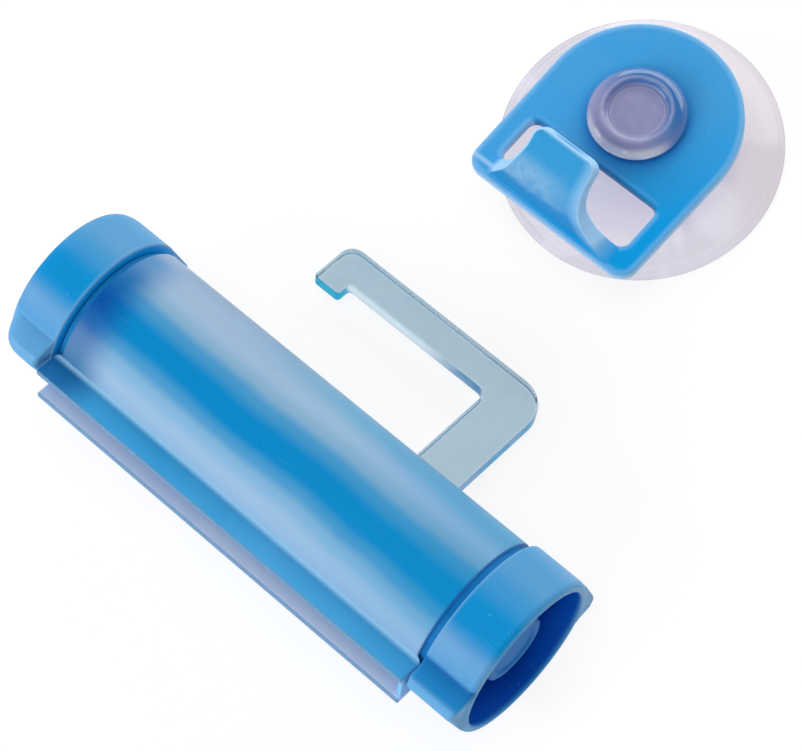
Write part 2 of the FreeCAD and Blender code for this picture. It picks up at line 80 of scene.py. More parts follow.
# Knobs and caps.
KNOB_BACK = KNOB_LOW[0]
KNOB_FACE = KNOB_HIGH[0]
KNOB_RADIUS = 17.0
KNOB_CUP_RADIUS = 15.1
KNOB_WEB = 1.6
KNOB_BACK_ROUND = 0.4
KNOB_FACE_ROUND = 1.3
KNOB_RIM_ROUND = 0.4
KNOB_WEB_FILLET = 0.8
HUB_RADIUS = 7.1
HUB_FILLET = 0.6
FIN_TIP_RADIUS = 21.0
FIN_INNER_TIP_RADIUS = 20.8
FIN_TIP_DEG = 152.2
FIN_TIP_WIDTH_DEG = 6.2
FIN_CREASE_DEG = 15.0
RIGHT_FIN_CREASE = 0.7
LEFT_FIN_CREASE = 0.0
FIN_END_INSET = 0.3
FIN_BACK_CORNER = 1.0
RIGHT_FIN_CORNER = 1.0
LEFT_FIN_CORNER = 6.5
LEFT_FACE_LENGTH = 3.2
CAP_BACK = CAP_LOW[0]
CAP_FACE = CAP_HIGH[0]
CAP_DIMPLE_RADIUS = 5.2
CAP_DIMPLE_DEPTH = 0.5

# Hanging hook.
HOOK_THICKNESS = 2.8
HOOK_ARM_LOW_X = 14.5
HOOK_ARM_HIGH_X = 25.0
HOOK_REACH = 45.8
HOOK_BAR_WIDTH = 7.5
HOOK_LEFT_X = -27.0
HOOK_TOOTH_WIDTH = 6.5
HOOK_TOOTH_DEPTH = 3.4
HOOK_OUTER_ROUND = 7.0
HOOK_INNER_ROUND = 2.0
HOOK_END_ROUND = 3.0
HOOK_TOOTH_ROUND = 0.8
HOOK_EDGE_ROUND = 0.4
HOOK_BOTTOM = (HOOK_REACH * math.sin(REST_TILT) - KNOB_RADIUS) / math.cos(REST_TILT)
PAD_THICKNESS = 1.0
PAD_MARGIN = 1.6
PAD_HALF_HEIGHT = 3.6

# Suction cup.
CUP_RADIUS = 28.15
CUP_RIM_HEIGHT = 0.8
CUP_SHOULDER_RADIUS = 9.3
CUP_SHOULDER_HEIGHT = 11.1
CUP_CORE_HEIGHT = 6.6
NECK_RADIUS = 5.58
HEAD_LOW = 14.6
HEAD_RADIUS = 9.75
HEAD_TOP = 17.8
DISH_RADIUS = 6.2
DISH_DEPTH = 1.3

# Hanger plate and its tongue.
PLATE_BOTTOM = 11.5
PLATE_THICKNESS = 2.4
PLATE_RADIUS = 20.4
PLATE_BAR_REACH = 27.85
PLATE_CORNER_X = 16.5
PLATE_CORNER_ROUND = 3.6
PLATE_EDGE_ROUND = 0.7
PLATE_HOLE_RADIUS = 5.65
BAR_RIDGE_INSET = 2.55
WINDOW_HALF_WIDTH = 15.6
WINDOW_NEAR = 12.3
WINDOW_FAR = 22.8
WINDOW_ROUND = 2.0
TONGUE_THICKNESS = 3.2
TONGUE_HALF_WIDTH = 7.3
TONGUE_OFF_CENTRE = 1.75
TONGUE_BASE_HALF_WIDTH = 15.5
TONGUE_FLARE_HEIGHT = 9.8
TONGUE_BEND_OUT = 4.2
TONGUE_BEND_UP = 2.3
TONGUE_CORNER_ROUND = 2.2
TONGUE_EDGE_ROUND = 0.7
TONGUE_FOOT_SWELL = 0.9
TONGUE_LINE = ((-24.75, -0.7), (-24.7, 0.9), (-24.6, 3.3), (-23.65, 6.9), (-21.35, 9.8), (-18.9, 11.95),
               (-16.5, 13.85))

# Camera: its focal length in pixels of the picture, its place in millimetres and its three directions.
PICTURE_WIDTH_PIXELS = 802
FOCAL_PIXELS = 2800
SENSOR_WIDTH = 36.0
CAMERA_PLACE = (170.5516, -125.2634, 499.0168)
CAMERA_RIGHT = (0.738081, 0.664463, -0.117163)
CAMERA_UP = (-0.593710, 0.722099, 0.355079)
CAMERA_BACK = (0.320539, -0.192516, 0.927466)


# Places of the two loose things.

def in_casing(points):
    """Turns casing points by the rest tilt about the barrel axis, then lifts them onto the table."""
    p = np.asarray(points, float)
    c, s = math.cos(REST_TILT), math.sin(REST_TILT)
    turned = np.stack([p[..., 0], p[..., 1] * c + p[..., 2] * s, p[..., 2] * c - p[..., 1] * s], -1)
    return (turned + BARREL) * MM


def on_axis(points):
    """Moves points given about the barrel axis to the barrel's place."""
    return (np.asarray(points, float) + BARREL) * MM


def on_hanger(points):
    """Moves points given about the suction cup's axis to the hanger's place."""
    return (np.asarray(points, float) + HANGER) * MM


# Curves.

def evenly(points, spacing, closed):
    """The same polyline with points at even steps of its length."""
    p = np.asarray(points, float)
    if closed:
        p = np.vstack([p, p[:1]])
    run = np.r_[0.0, np.cumsum(np.linalg.norm(np.diff(p, axis=0), axis=1))]
    count = max(8, int(round(run[-1] / spacing)))
    at = np.linspace(0, run[-1], count + 1)
    if closed:
        at = at[:-1]
    return np.stack([np.interp(at, run, p[:, k]) for k in range(p.shape[1])], 1)


def softened_loop(points, spacing, blur):
    """A closed outline whose corners are rounded: each point is the Gaussian mean of its neighbours."""
    p = evenly(points, spacing, True)
    freq = np.fft.fftfreq(len(p), spacing)
    weight = np.exp(-2 * (math.pi * freq * blur) ** 2)
    return np.real(np.fft.ifft(np.fft.fft(p, axis=0) * weight[:, None], axis=0))


def softened_path(points, spacing, blur):
    """An open path with rounded corners: it is mirrored through both of its ends and softened as a loop."""
    p = evenly(points, spacing, False)
    wide = int(4 * blur / spacing) + 1
    before = 2 * p[0] - p[wide:0:-1]
    after = 2 * p[-1] - p[-2:-2 - wide:-1]
    full = np.vstack([before, p, after])
    step = np.arange(-wide, wide + 1) * spacing
    kernel = np.exp(-0.5 * (step / blur) ** 2)
    kernel /= kernel.sum()
    return np.stack([np.convolve(full[:, k], kernel, "valid") for k in range(p.shape[1])], 1)


def arc(radius, start_deg, end_deg, count, centre=(0.0, 0.0)):
    """Points on a circle: centre plus radius times the cosine and sine of an evenly growing angle."""
    t = np.radians(np.linspace(start_deg, end_deg, count))
    return np.stack([centre[0] + radius * np.cos(t), centre[1] + radius * np.sin(t)], 1)


def filleted(corners, steps=12):
    """A closed outline from corners (x, y, radius): each corner is an arc tangent to both of its sides."""
    pts = np.array([c[:2] for c in corners], float)
    out = []
    for i, (x, y, radius) in enumerate(corners):
        here = np.array([x, y], float)
        a = pts[i - 1] - here
        b = pts[(i + 1) % len(pts)] - here
        a /= np.linalg.norm(a)
        b /= np.linalg.norm(b)
        half = math.acos(np.clip(a @ b, -1, 1)) / 2
        middle = here + (a + b) / np.linalg.norm(a + b) * radius / math.sin(half)
        first = here + a * radius / math.tan(half) - middle
        last = here + b * radius / math.tan(half) - middle
        turn = math.atan2(first[0] * last[1] - first[1] * last[0], first @ last)
        t = np.linspace(0, turn, steps)
        out.append(middle + np.stack([first[0] * np.cos(t) - first[1] * np.sin(t),
                                      first[0] * np.sin(t) + first[1] * np.cos(t)], 1))
    return np.vstack(out)


def through(points, count):
    """A smooth path through control points (Catmull-Rom): cubic between each two, with shared slopes."""
    p = np.asarray(points, float)
    p = np.vstack([2 * p[0] - p[1], p, 2 * p[-1] - p[-2]])
    t = np.linspace(0, len(p) - 3 - 1e-9, count)
    k = t.astype(int)
    u = (t - k)[:, None]
    a, b, c, d = p[k], p[k + 1], p[k + 2], p[k + 3]
    square = (2 * a - 5 * b + 4 * c - d) * u ** 2
    cube = (3 * b - a - 3 * c + d) * u ** 3
    return 0.5 * (2 * b + (c - a) * u + square + cube)


def by_turning(path, step, turn_deg):
    """Fewer points of a fine path, about one for each step of its length and each turn_deg of turning."""
    d = np.diff(path, axis=0)
    heading = np.unwrap(np.arctan2(d[:, 1], d[:, 0]))
    turn = np.r_[0.0, np.abs(np.diff(heading))]
    need = np.r_[0.0, np.cumsum(np.linalg.norm(d, axis=1) / step + turn / math.radians(turn_deg))]
    at = np.linspace(0, need[-1], int(need[-1]) + 2)
    return path[np.unique(np.round(np.interp(at, need, np.arange(len(path)))).astype(int))]


def side_normals(path, closed=False):
    """Unit vectors across a plane path, a quarter turn to the right of its direction."""
    d = np.roll(path, -1, 0) - np.roll(path, 1, 0) if closed else np.gradient(path, axis=0)
    n = np.stack([d[:, 1], -d[:, 0]], 1)
    return n / np.linalg.norm(n, axis=1, keepdims=True)


def rounding(steps, start_deg=0):
    """Sine and one minus cosine up to a quarter turn, the two legs of a round edge of radius one."""
    t = np.radians(np.linspace(start_deg, 90, steps))
    return np.sin(t), 1 - np.cos(t)


def cut_back(radius, distance):
    """How far a round corner of that radius falls back at a distance from its end: r - sqrt(r^2 - d^2)."""
    d = np.clip(radius - distance, 0, radius)
    return radius - np.sqrt(radius ** 2 - d ** 2)


# Meshes.

def grid_faces(rows, columns, wrap, offset=0):
    """Quads between the neighbours of a grid of points; wrap joins the last column to the first."""
    i, j = np.meshgrid(np.arange(rows - 1), np.arange(columns if wrap else columns - 1), indexing="ij")
    k = (j + 1) % columns
    quads = np.stack([i * columns + j, i * columns + k, (i + 1) * columns + k, (i + 1) * columns + j], -1)
    return quads.reshape(-1, 4) + offset


def end_fans(rows, columns):
    """Triangles that close a wrapped grid at both ends; the two poles come after the grid's points."""
    j = np.arange(columns)
    k = (j + 1) % columns
    last = (rows - 1) * columns
    first_pole, last_pole = rows * columns, rows * columns + 1
    return np.vstack([np.stack([np.full(columns, first_pole), k, j], 1),
                      np.stack([np.full(columns, last_pole), last + j, last + k], 1)])


def enclosed_volume(points, triangles):
    """Six times the volume inside a closed surface: the sum of a . (b x c) over its triangles."""
    a, b, c = (points[triangles[:, k]] for k in range(3))
    return float(np.sum(a * np.cross(b, c)))


def make_piece(name, points, quads, triangles=None, marks=None):
    """Puts whole arrays of points and faces into one smooth-shaded mesh at the origin, faces outward; marks
    are named values per point that the material reads."""
    groups = [quads] if triangles is None else [quads, triangles]
    split = [quads[:, [0, 1, 2]], quads[:, [0, 2, 3]]] + groups[1:]
    if enclosed_volume(points, np.vstack(split)) < 0:
        groups = [faces[:, ::-1] for faces in groups]
    mesh = bpy.data.meshes.new(name)
    mesh.from_pydata(points.tolist(), [], sum((faces.tolist() for faces in groups), []))
    mesh.polygons.foreach_set("use_smooth", np.ones(len(mesh.polygons), bool))
    for mark, values in (marks or {}).items():
        layer = mesh.attributes.new(mark, "FLOAT", "POINT")
        layer.data.foreach_set("value", np.asarray(values, np.float32).ravel())
    mesh.update()
    piece = bpy.data.objects.new(name, mesh)
    bpy.context.scene.collection.objects.link(piece)
    return piece


def turned_piece(name, profile, place, axis, columns=240):
    """A surface of revolution: the profile's (along, out) pairs turned about the axis, with closed poles."""
    along, out = profile[:, 0], profile[:, 1]
    t = np.linspace(0, 2 * math.pi, columns, endpoint=False)
    ring_a, ring_b = np.outer(out, np.cos(t)), np.outer(out, np.sin(t))
    height = np.repeat(along[:, None], columns, 1)
    order = {"x": (height, ring_a, ring_b), "z": (ring_a, ring_b, height)}[axis]
    grid = np.stack(order, -1)
    points = np.vstack([grid[1:-1].reshape(-1, 3), grid[0, 0], grid[-1, 0]])
    rows = len(profile) - 2
    return make_piece(name, place(points), grid_faces(rows, columns, True), end_fans(rows, columns))


def walled_piece(name, outer, inner, place, edge_round, marks=None):
    """A closed shell between two matching grids of points; its four borders are joined and then bevelled."""
    rows, columns = outer.shape[:2]
    size = rows * columns
    front = grid_faces(rows, columns, False)
    back = grid_faces(rows, columns, False, size)[:, ::-1]
    index = np.arange(size).reshape(rows, columns)
    border = np.r_[index[0, :-1], index[:-1, -1], index[-1, :0:-1], index[:0:-1, 0]]
    after = np.roll(border, -1)
    rim = np.stack([after, border, border + size, after + size], 1)
    points = np.vstack([outer.reshape(-1, 3), inner.reshape(-1, 3)])
    piece = make_piece(name, place(points), np.vstack([front, back, rim]), marks=marks)
    bevel = piece.modifiers.new("Rounded edges", "BEVEL")
    bevel.width = edge_round * MM
    bevel.segments = 4
    bevel.limit_method = "ANGLE"
    bevel.angle_limit = math.radians(40)
    bevel.use_clamp_overlap = True
    weigh_normals(piece)
    return piece


def weigh_normals(piece):
    """Flat faces keep their own direction and only the rounded edges turn the shading."""
    weighted = piece.modifiers.new("Flat faces stay flat", "WEIGHTED_NORMAL")
    weighted.mode = "FACE_AREA"
    weighted.weight = 80
    weighted.keep_sharp = False


def plate_piece(name, loops, low, high, rounds, place, glow, steps=6):
    """A flat plate with holes: each loop's wall is a grid whose rows move in by r(1 - sin t) as they rise by
    r(1 - cos t), and both faces are the region between the innermost rows. The edge mark, where the
    material paints highlights, is 1 on the walls, less on the rounds, and fades over the distance glow."""
    points, quads, tops, bottoms, edge = [], [], [], [], []
    offset = 0
    rise, run = rounding(steps)
    for loop, r in zip(loops, rounds):
        n = side_normals(loop, True)
        inset = np.r_[r + glow, r * (1 - rise), (r * (1 - rise))[::-1], r + glow]
        level = np.r_[low, low + r * run, (high - r * run)[::-1], high]
        wall = np.concatenate([loop[None] - n[None] * inset[:, None, None],
                               np.repeat(level[:, None, None], len(loop), 1)], -1)
        rows, columns = wall.shape[:2]
        points.append(wall.reshape(-1, 3))
        quads.append(grid_faces(rows, columns, True, offset))
        bottoms.append(offset + np.arange(columns))
        tops.append(offset + (rows - 1) * columns + np.arange(columns))
        shown = 0.4 + 0.6 * run
        edge.append(np.repeat(np.r_[0.0, shown, shown[::-1], 0.0], columns))
        offset += rows * columns
    points = np.vstack(points)
    faces = []
    for ids, flip in ((tops, False), (bottoms, True)):
        flat = np.concatenate(ids)
        found = tessellate_polygon([[Vector(points[i]) for i in loop] for loop in ids])
        tri = flat[np.array(found)]
        a, b, c = (points[tri[:, k], :2] for k in range(3))
        area = (b[:, 0] - a[:, 0]) * (c[:, 1] - a[:, 1]) - (b[:, 1] - a[:, 1]) * (c[:, 0] - a[:, 0])
        wrong = (area < 0) != flip
        tri[wrong] = tri[wrong][:, ::-1]
        faces.append(tri)
    marks = {"edge": np.concatenate(edge)}
    piece = make_piece(name, place(points), np.vstack(quads), np.vstack(faces), marks)
    weigh_normals(piece)
    return piece


# Shader help.

def add_node(tree, kind, x, y, **settings):
    """A node of that kind at a place in the tree, with its settings."""
    node = tree.nodes.new(kind)
    node.location = (x, y)
    for key, value in settings.items():
        setattr(node, key, value)
    return node


def fill(node, **inputs):
    """Sets unlinked inputs by name, with _ for a space."""
    for key, value in inputs.items():
        node.inputs[key.replace("_", " ")].default_value = value
    return node


def moulding_marks():
    """Group: soft clouding, fine grain, faint hairline scuffs and sparse dust of moulded plastic, with a
    normal bumped by the grain and scuffs. Its scales are counts per metre."""
    name = "Moulding Marks"
    if name in bpy.data.node_groups:
        return bpy.data.node_groups[name]
    tree = bpy.data.node_groups.new(name, "ShaderNodeTree")
    face = tree.interface
    face.new_socket("Coordinate", in_out="INPUT", socket_type="NodeSocketVector")
    for socket, value in (("Cloud Scale", 45.0), ("Grain Scale", 1800.0), ("Bump", 0.1), ("Scuffs", 0.5)):
        face.new_socket(socket, in_out="INPUT", socket_type="NodeSocketFloat").default_value = value
    for socket in ("Cloud", "Grain", "Scuff", "Dust"):
        face.new_socket(socket, in_out="OUTPUT", socket_type="NodeSocketFloat")
    face.new_socket("Normal", in_out="OUTPUT", socket_type="NodeSocketVector")
    link = tree.links.new
    put = add_node(tree, "NodeGroupInput", -900, 0)
    out = add_node(tree, "NodeGroupOutput", 900, 0)
    cloud = fill(add_node(tree, "ShaderNodeTexNoise", -500, 300), Detail=3.0, Roughness=0.55, Distortion=0.6)
    link(put.outputs["Coordinate"], cloud.inputs["Vector"])
    link(put.outputs["Cloud Scale"], cloud.inputs["Scale"])
    spread = fill(add_node(tree, "ShaderNodeMapRange", -250, 300), From_Min=0.32, From_Max=0.68)
    link(cloud.outputs["Fac"], spread.inputs["Value"])
    link(spread.outputs["Result"], out.inputs["Cloud"])
    grain = fill(add_node(tree, "ShaderNodeTexNoise", -500, 50), Detail=2.0, Roughness=0.6)
    link(put.outputs["Coordinate"], grain.inputs["Vector"])
    link(put.outputs["Grain Scale"], grain.inputs["Scale"])
    link(grain.outputs["Fac"], out.inputs["Grain"])
    long = fill(add_node(tree, "ShaderNodeMapping", -700, -200), Rotation=(0.2, 0.9, 1.1),
                Scale=(160.0, 3000.0, 3000.0))
    link(put.outputs["Coordinate"], long.inputs["Vector"])
    hair = fill(add_node(tree, "ShaderNodeTexNoise", -500, -200), Scale=1.0, Detail=1.0, Roughness=0.4)
    link(long.outputs["Vector"], hair.inputs["Vector"])
    thin = fill(add_node(tree, "ShaderNodeMapRange", -250, -200), From_Min=0.70, From_Max=0.78)
    link(hair.outputs["Fac"], thin.inputs["Value"])
    scuff = add_node(tree, "ShaderNodeMath", 0, -200, operation="MULTIPLY")
    link(thin.outputs["Result"], scuff.inputs[0])
    link(put.outputs["Scuffs"], scuff.inputs[1])
    link(scuff.outputs["Value"], out.inputs["Scuff"])
    speck = fill(add_node(tree, "ShaderNodeTexVoronoi", -500, -450), Scale=260.0)
    link(put.outputs["Coordinate"], speck.inputs["Vector"])
    dust = fill(add_node(tree, "ShaderNodeMapRange", -250, -450), From_Min=0.07, From_Max=0.03)
    link(speck.outputs["Distance"], dust.inputs["Value"])
    link(dust.outputs["Result"], out.inputs["Dust"])
    heights = add_node(tree, "ShaderNodeMath", 150, 60, operation="MULTIPLY_ADD")
    link(scuff.outputs["Value"], heights.inputs[0])
    heights.inputs[1].default_value = -0.6
    link(grain.outputs["Fac"], heights.inputs[2])
    bump = fill(add_node(tree, "ShaderNodeBump", 400, 0), Distance=0.0001)
    link(put.outputs["Bump"], bump.inputs["Strength"])
    link(heights.outputs["Value"], bump.inputs["Height"])
    link(bump.outputs["Normal"], out.inputs["Normal"])
    return tree


class Recipe:
    """One material being made: its tree, its Principled shader and the moulding marks that it shares."""

    def __init__(self, name, cloud=45.0, grain=1800.0, bump=0.1, scuffs=0.2):
        self.material = bpy.data.materials.new(name)
        self.material.use_nodes = True
        self.tree = self.material.node_tree
        self.shader = self.tree.nodes["Principled BSDF"]
        self.spot = add_node(self.tree, "ShaderNodeTexCoord", -2100, 0).outputs["Object"]
        self.marks = add_node(self.tree, "ShaderNodeGroup", -1800, 0, node_tree=moulding_marks())
        self.link(self.spot, self.marks.inputs["Coordinate"])
        fill(self.marks, Cloud_Scale=cloud, Grain_Scale=grain, Bump=bump, Scuffs=scuffs)
        self.link(self.marks.outputs["Normal"], self.shader.inputs["Normal"])
        self.column = -1500

    def link(self, a, b):
        self.tree.links.new(a, b)

    def put(self, value, socket):
        """Links a socket, or sets a number or a colour, on an input."""
        if isinstance(value, bpy.types.NodeSocket):
            self.link(value, socket)
        elif isinstance(value, (int, float)):
            socket.default_value = value
        else:
            socket.default_value = (*value, 1)

    def new(self, kind, y=0, **settings):
        """Adds the next node, a little to the right of the one before."""
        self.column += 60
        return add_node(self.tree, kind, self.column, y, **settings)

    def cloud(self):
        """Soft wide clouding, from 0 to 1."""
        return self.marks.outputs["Cloud"]

    def mottle(self, scale):
        """Fine uneven spots, from 0 to 1."""
        node = fill(self.new("ShaderNodeTexNoise", -1100), Scale=scale, Detail=3.0, Roughness=0.6)
        self.link(self.spot, node.inputs["Vector"])
        return self.spread(node.outputs["Fac"], 0.35, 0.65)

    def mark(self, name):
        """A named value that the mesh carries at its points."""
        return self.new("ShaderNodeAttribute", -700, attribute_name=name).outputs["Fac"]

    def sum(self, operation, a, b=0.0):
        """One step of arithmetic with sockets or numbers."""
        node = self.new("ShaderNodeMath", -500, operation=operation)
        self.put(a, node.inputs[0])
        self.put(b, node.inputs[1])
        return node.outputs["Value"]

    def both(self, a, b):
        """The product of two values."""
        return self.sum("MULTIPLY", a, b)

    def weighed(self, *pairs):
        """The sum of values times their weights."""
        parts = [self.both(value, weight) for value, weight in pairs]
        total = parts[0]
        for part in parts[1:]:
            total = self.sum("ADD", total, part)
        return total

    def spread(self, value, low, high, to_low=0.0, to_high=1.0, soft=False):
        """A value moved from one range to another and kept in it, with eased ends if soft."""
        node = self.new("ShaderNodeMapRange", -300, interpolation_type="SMOOTHSTEP" if soft else "LINEAR")
        fill(node, From_Min=low, From_Max=high, To_Min=to_low, To_Max=to_high)
        self.link(value, node.inputs["Value"])
        return node.outputs["Result"]

    def band(self, value, rise, fall, soft=True):
        """1 between two slopes: up over the first pair of values and down over the second."""
        up = self.spread(value, rise[0], rise[1], soft=soft)
        return self.both(up, self.spread(value, fall[1], fall[0], soft=soft))

    def wavered(self, value, swing):
        """A value pushed up and down by the clouds, by up to the swing."""
        return self.sum("ADD", value, self.spread(self.cloud(), 0, 1, -swing, swing))

    def from_middle(self, middle):
        """The spot's x, y and z from a middle point, in millimetres."""
        split = self.new("ShaderNodeSeparateXYZ", -900)
        self.link(self.spot, split.inputs[0])
        places = [self.both(socket, 1 / MM) for socket in split.outputs]
        return [self.sum("SUBTRACT", place, float(value)) for place, value in zip(places, middle)]

    def reach_from(self, middle):
        """Distance from the upright axis through a middle point, in millimetres."""
        x, y = self.from_middle(middle)[:2]
        return self.sum("SQRT", self.sum("ADD", self.both(x, x), self.both(y, y)))

    def around_barrel(self):
        """Share of a turn about the barrel axis: 0.5 is behind, 0.75 on top and 1 in front."""
        y, z = self.from_middle(BARREL)[1:]
        return self.spread(self.sum("ARCTAN2", z, y), -math.pi, math.pi)

    def blend(self, factor, a, b):
        """A colour that goes from a to b with the factor; each is a value or a socket."""
        mix = self.new("ShaderNodeMix", 300, data_type="RGBA")
        for socket, value in zip((mix.inputs[0], mix.inputs[6], mix.inputs[7]), (factor, a, b)):
            self.put(value, socket)
        return mix.outputs[2]

    def laid(self, base, mask, strength, colour):
        """The base with a colour laid over it where a mask is, at that strength."""
        return self.blend(self.both(mask, strength), base, colour)

    def grained(self, base, strength, colour):
        """The base with the fine grain picked out in a colour."""
        return self.blend(self.spread(self.marks.outputs["Grain"], 0.35, 0.65, 0.0, strength), base, colour)

    def ramp(self, value, stops):
        """Colours at chosen places along a value from 0 to 1, eased between them."""
        node = self.new("ShaderNodeValToRGB", 500)
        ramp = node.color_ramp
        ramp.interpolation = "EASE"
        ramp.elements.remove(ramp.elements[-1])
        ramp.elements[0].position = stops[0][0]
        ramp.elements[0].color = (*stops[0][1], 1)
        for place, colour in stops[1:]:
            ramp.elements.new(place).color = (*colour, 1)
        self.link(value, node.inputs[0])
        return node.outputs[0]

    def levels(self, value, stops):
        """Greys at chosen places along a value from 0 to 1, to serve as a mask."""
        return self.ramp(value, [(place, (grey, grey, grey)) for place, grey in stops])

    def finish(self, colour, rough_low, rough_high, dull=None, **plain):
        """Base colour, roughness that follows clouds and scuffs, duller where asked, and plain values."""
        self.link(colour, self.shader.inputs["Base Color"])
        rough = self.spread(self.cloud(), 0, 1, rough_low, rough_high)
        rough = self.sum("ADD", rough, self.both(self.marks.outputs["Scuff"], 0.25))
        if dull is not None:
            rough = self.sum("ADD", rough, self.both(dull, 0.45))
        self.link(rough, self.shader.inputs["Roughness"])
        fill(self.shader, **plain)
        self.shader.location = (self.column + 300, 0)
        self.tree.nodes["Material Output"].location = (self.column + 600, 0)
        return self.material


def wear(piece, material):
    """Puts one material on a piece, new or carried over."""
    piece.data.materials.clear()
    piece.data.materials.append(material)


def tint(colour, factor):
    """A colour made lighter or darker by a factor and kept within 0 to 1."""
    return tuple(min(1.0, max(0.0, v * factor)) for v in colour)


# Finishes. Places in them are millimetres from the barrel's axis or the hanger's, or shares of a turn.

def frosted_blue(look):
    """Translucent frosted casing with light and shade painted by place around the barrel: milky painted
    highlights along both sides where light gathers, deep blue on top between them, silver at the back,
    painted shade at the left end where the end plate lies behind, lilac grey inside the mouth painted as
    light through the plastic, a painted highlight line where the lips leave the barrel and dull ends on the
    lips."""
    r = Recipe("Frosted blue casing", cloud=26.0, grain=1900.0, bump=0.05, scuffs=0.2)
    deep = tuple(look.casing_blue)
    milky_highlight = tuple(look.casing_highlight)
    dusk = (0.06, 0.29, 0.55)
    front = (0.12, 0.42, 0.70)
    x, y, z = r.from_middle(BARREL)
    share = r.wavered(r.around_barrel(), 0.006)
    # The ramp paints light and shade around the barrel: milky highlights to both sides, deep blue on top.
    base = r.ramp(share, [
        (0.0, front), (0.25, (0.12, 0.27, 0.42)), (0.50, (0.10, 0.24, 0.38)), (0.60, (0.13, 0.35, 0.54)),
        (0.667, milky_highlight), (0.697, (0.22, 0.40, 0.57)), (0.724, dusk), (0.756, deep), (0.786, deep),
        (0.81, dusk), (0.835, (0.19, 0.39, 0.60)), (0.869, milky_highlight), (0.897, milky_highlight),
        (0.920, (0.25, 0.44, 0.65)), (0.944, (0.21, 0.44, 0.67)), (0.97, front)])
    silver = r.blend(r.spread(share, 0.55, 0.62), (0.19, 0.28, 0.41), (0.31, 0.41, 0.56))
    back_left = r.both(r.spread(x, 15, -30, soft=True), r.spread(share, 0.70, 0.64, soft=True))
    base = r.laid(base, back_left, 0.9, silver)
    right = r.both(r.spread(x, 0, 45, 0.0, 0.42, soft=True), r.spread(share, 0.88, 0.83, 0.35, 1.0))
    base = r.blend(right, base, (0.0, 0.25, 0.53))
    left = r.spread(r.wavered(x, 2), 11 - CASING_HALF_LENGTH, 2 - CASING_HALF_LENGTH, soft=True)
    # Painted shade at the left end, by the knob and the end plate behind the wall.
    left_end_shade = r.ramp(share, [
        (0.583, (0.24, 0.35, 0.52)), (0.639, (0.085, 0.24, 0.47)), (0.70, (0.01, 0.14, 0.39)),
        (0.764, (0.0, 0.07, 0.33)), (0.806, (0.01, 0.11, 0.37)), (0.84, (0.07, 0.17, 0.39)),
        (0.89, (0.065, 0.19, 0.37)), (0.917, (0.0, 0.08, 0.31))])
    base = r.blend(left, base, left_end_shade)
    base = r.grained(base, 0.06, (0.02, 0.46, 0.85))
    lips = r.blend(r.cloud(), (0.04, 0.36, 0.72), (0.08, 0.42, 0.80))
    # Painted shade on the lips' left end.
    lips = r.laid(lips, left, 0.8, (0.0, 0.11, 0.36))
    base = r.blend(r.mark("lip"), base, lips)
    reach = r.weighed((z, math.sin(REST_TILT)), (y, -math.cos(REST_TILT)))
    # A painted highlight line where the lips leave the barrel.
    root = r.band(reach, (LIP_ROOT - 0.2, LIP_ROOT + 0.1), (LIP_ROOT + 0.2, LIP_ROOT + 1.2))
    base = r.laid(base, root, 0.6, (0.36, 0.64, 0.88))
    # Inside the mouth, a pale lilac grey painted as light coming through the plastic.
    inside_light = r.blend(r.cloud(), (0.58, 0.72, 0.96), (0.66, 0.78, 1.0))
    base = r.blend(r.mark("inside"), base, inside_light)
    lip_end = r.spread(reach, LIP_REACH - 0.34, LIP_REACH - 0.14)
    base = r.blend(lip_end, base, (0.145, 0.28, 0.46))
    base = r.laid(base, r.marks.outputs["Scuff"], 0.3, milky_highlight)
    return r.finish(base, 0.32, 0.40, dull=lip_end, Specular_IOR_Level=0.12)


def dark_collar():
    """Smooth deep blue of the end plates."""
    r = Recipe("Deep blue collar", cloud=80.0, bump=0.08)
    base = r.blend(r.cloud(), (0.005, 0.15, 0.39), (0.01, 0.19, 0.46))
    return r.finish(base, 0.45, 0.55, Specular_IOR_Level=0.05)


def knob_blue(look):
    """Satin sky blue of the knobs, with light and shade painted by place around the barrel, so that it turns
    with a knob: deep on top and painted highlights pale to both sides, with its marks in their own colours.
    They are painted light on the pale flanks, saturated scoops and painted shade in the deep hollows on the
    fins' backs, painted light on the bright backs towards the barrel, painted highlights on the pale edges
    and painted shade in the deep blue insides."""
    r = Recipe("Satin blue knob", cloud=60.0, grain=2000.0, bump=0.05, scuffs=0.3)
    blue = tuple(look.knob_blue)
    light = (0.085, 0.30, 0.555)
    # The ramp paints highlights to both sides of the barrel axis and a deep top.
    base = r.ramp(r.around_barrel(), [
        (0.25, blue), (0.50, light), (0.66, light), (0.71, (0.055, 0.29, 0.59)), (0.755, tint(blue, 0.96)),
        (0.79, tint(blue, 0.94)), (0.835, (0.13, 0.33, 0.60)), (0.875, (0.09, 0.30, 0.57)),
        (0.935, (0.07, 0.29, 0.56)), (1.0, (0.03, 0.21, 0.42))])
    base = r.laid(base, r.cloud(), 0.25, tint(blue, 1.08))
    base = r.grained(base, 0.06, (0.02, 0.45, 0.85))
    # Marks: painted light on flanks and backs, painted shade in hollows and insides, painted highlights on
    # edges.
    for mark, strength, colour in (
            ("flank", 0.85, (0.12, 0.38, 0.71)), ("scoop", 0.85, (0.01, 0.31, 0.72)),
            ("hollow", 0.9, (0.0, 0.12, 0.38)), ("back", 0.9, (0.0, 0.45, 1.0)),
            ("edge", 0.6, (0.14, 0.37, 0.64)), ("inside", 1.0, (0.0, 0.10, 0.55))):
        base = r.laid(base, r.mark(mark), strength, colour)
    base = r.laid(base, r.marks.outputs["Dust"], 0.1, (0.55, 0.72, 0.90))
    base = r.laid(base, r.marks.outputs["Scuff"], 0.35, (0.25, 0.5, 0.78))
    return r.finish(base, 0.36, 0.46, Specular_IOR_Level=0.15)


def milky_blue(name, low, high):
    """Cloudy translucent blue of the caps and the roller."""
    r = Recipe(name, cloud=90.0, bump=0.10)
    return r.finish(r.blend(r.cloud(), low, high), 0.4, 0.5, Specular_IOR_Level=0.06)


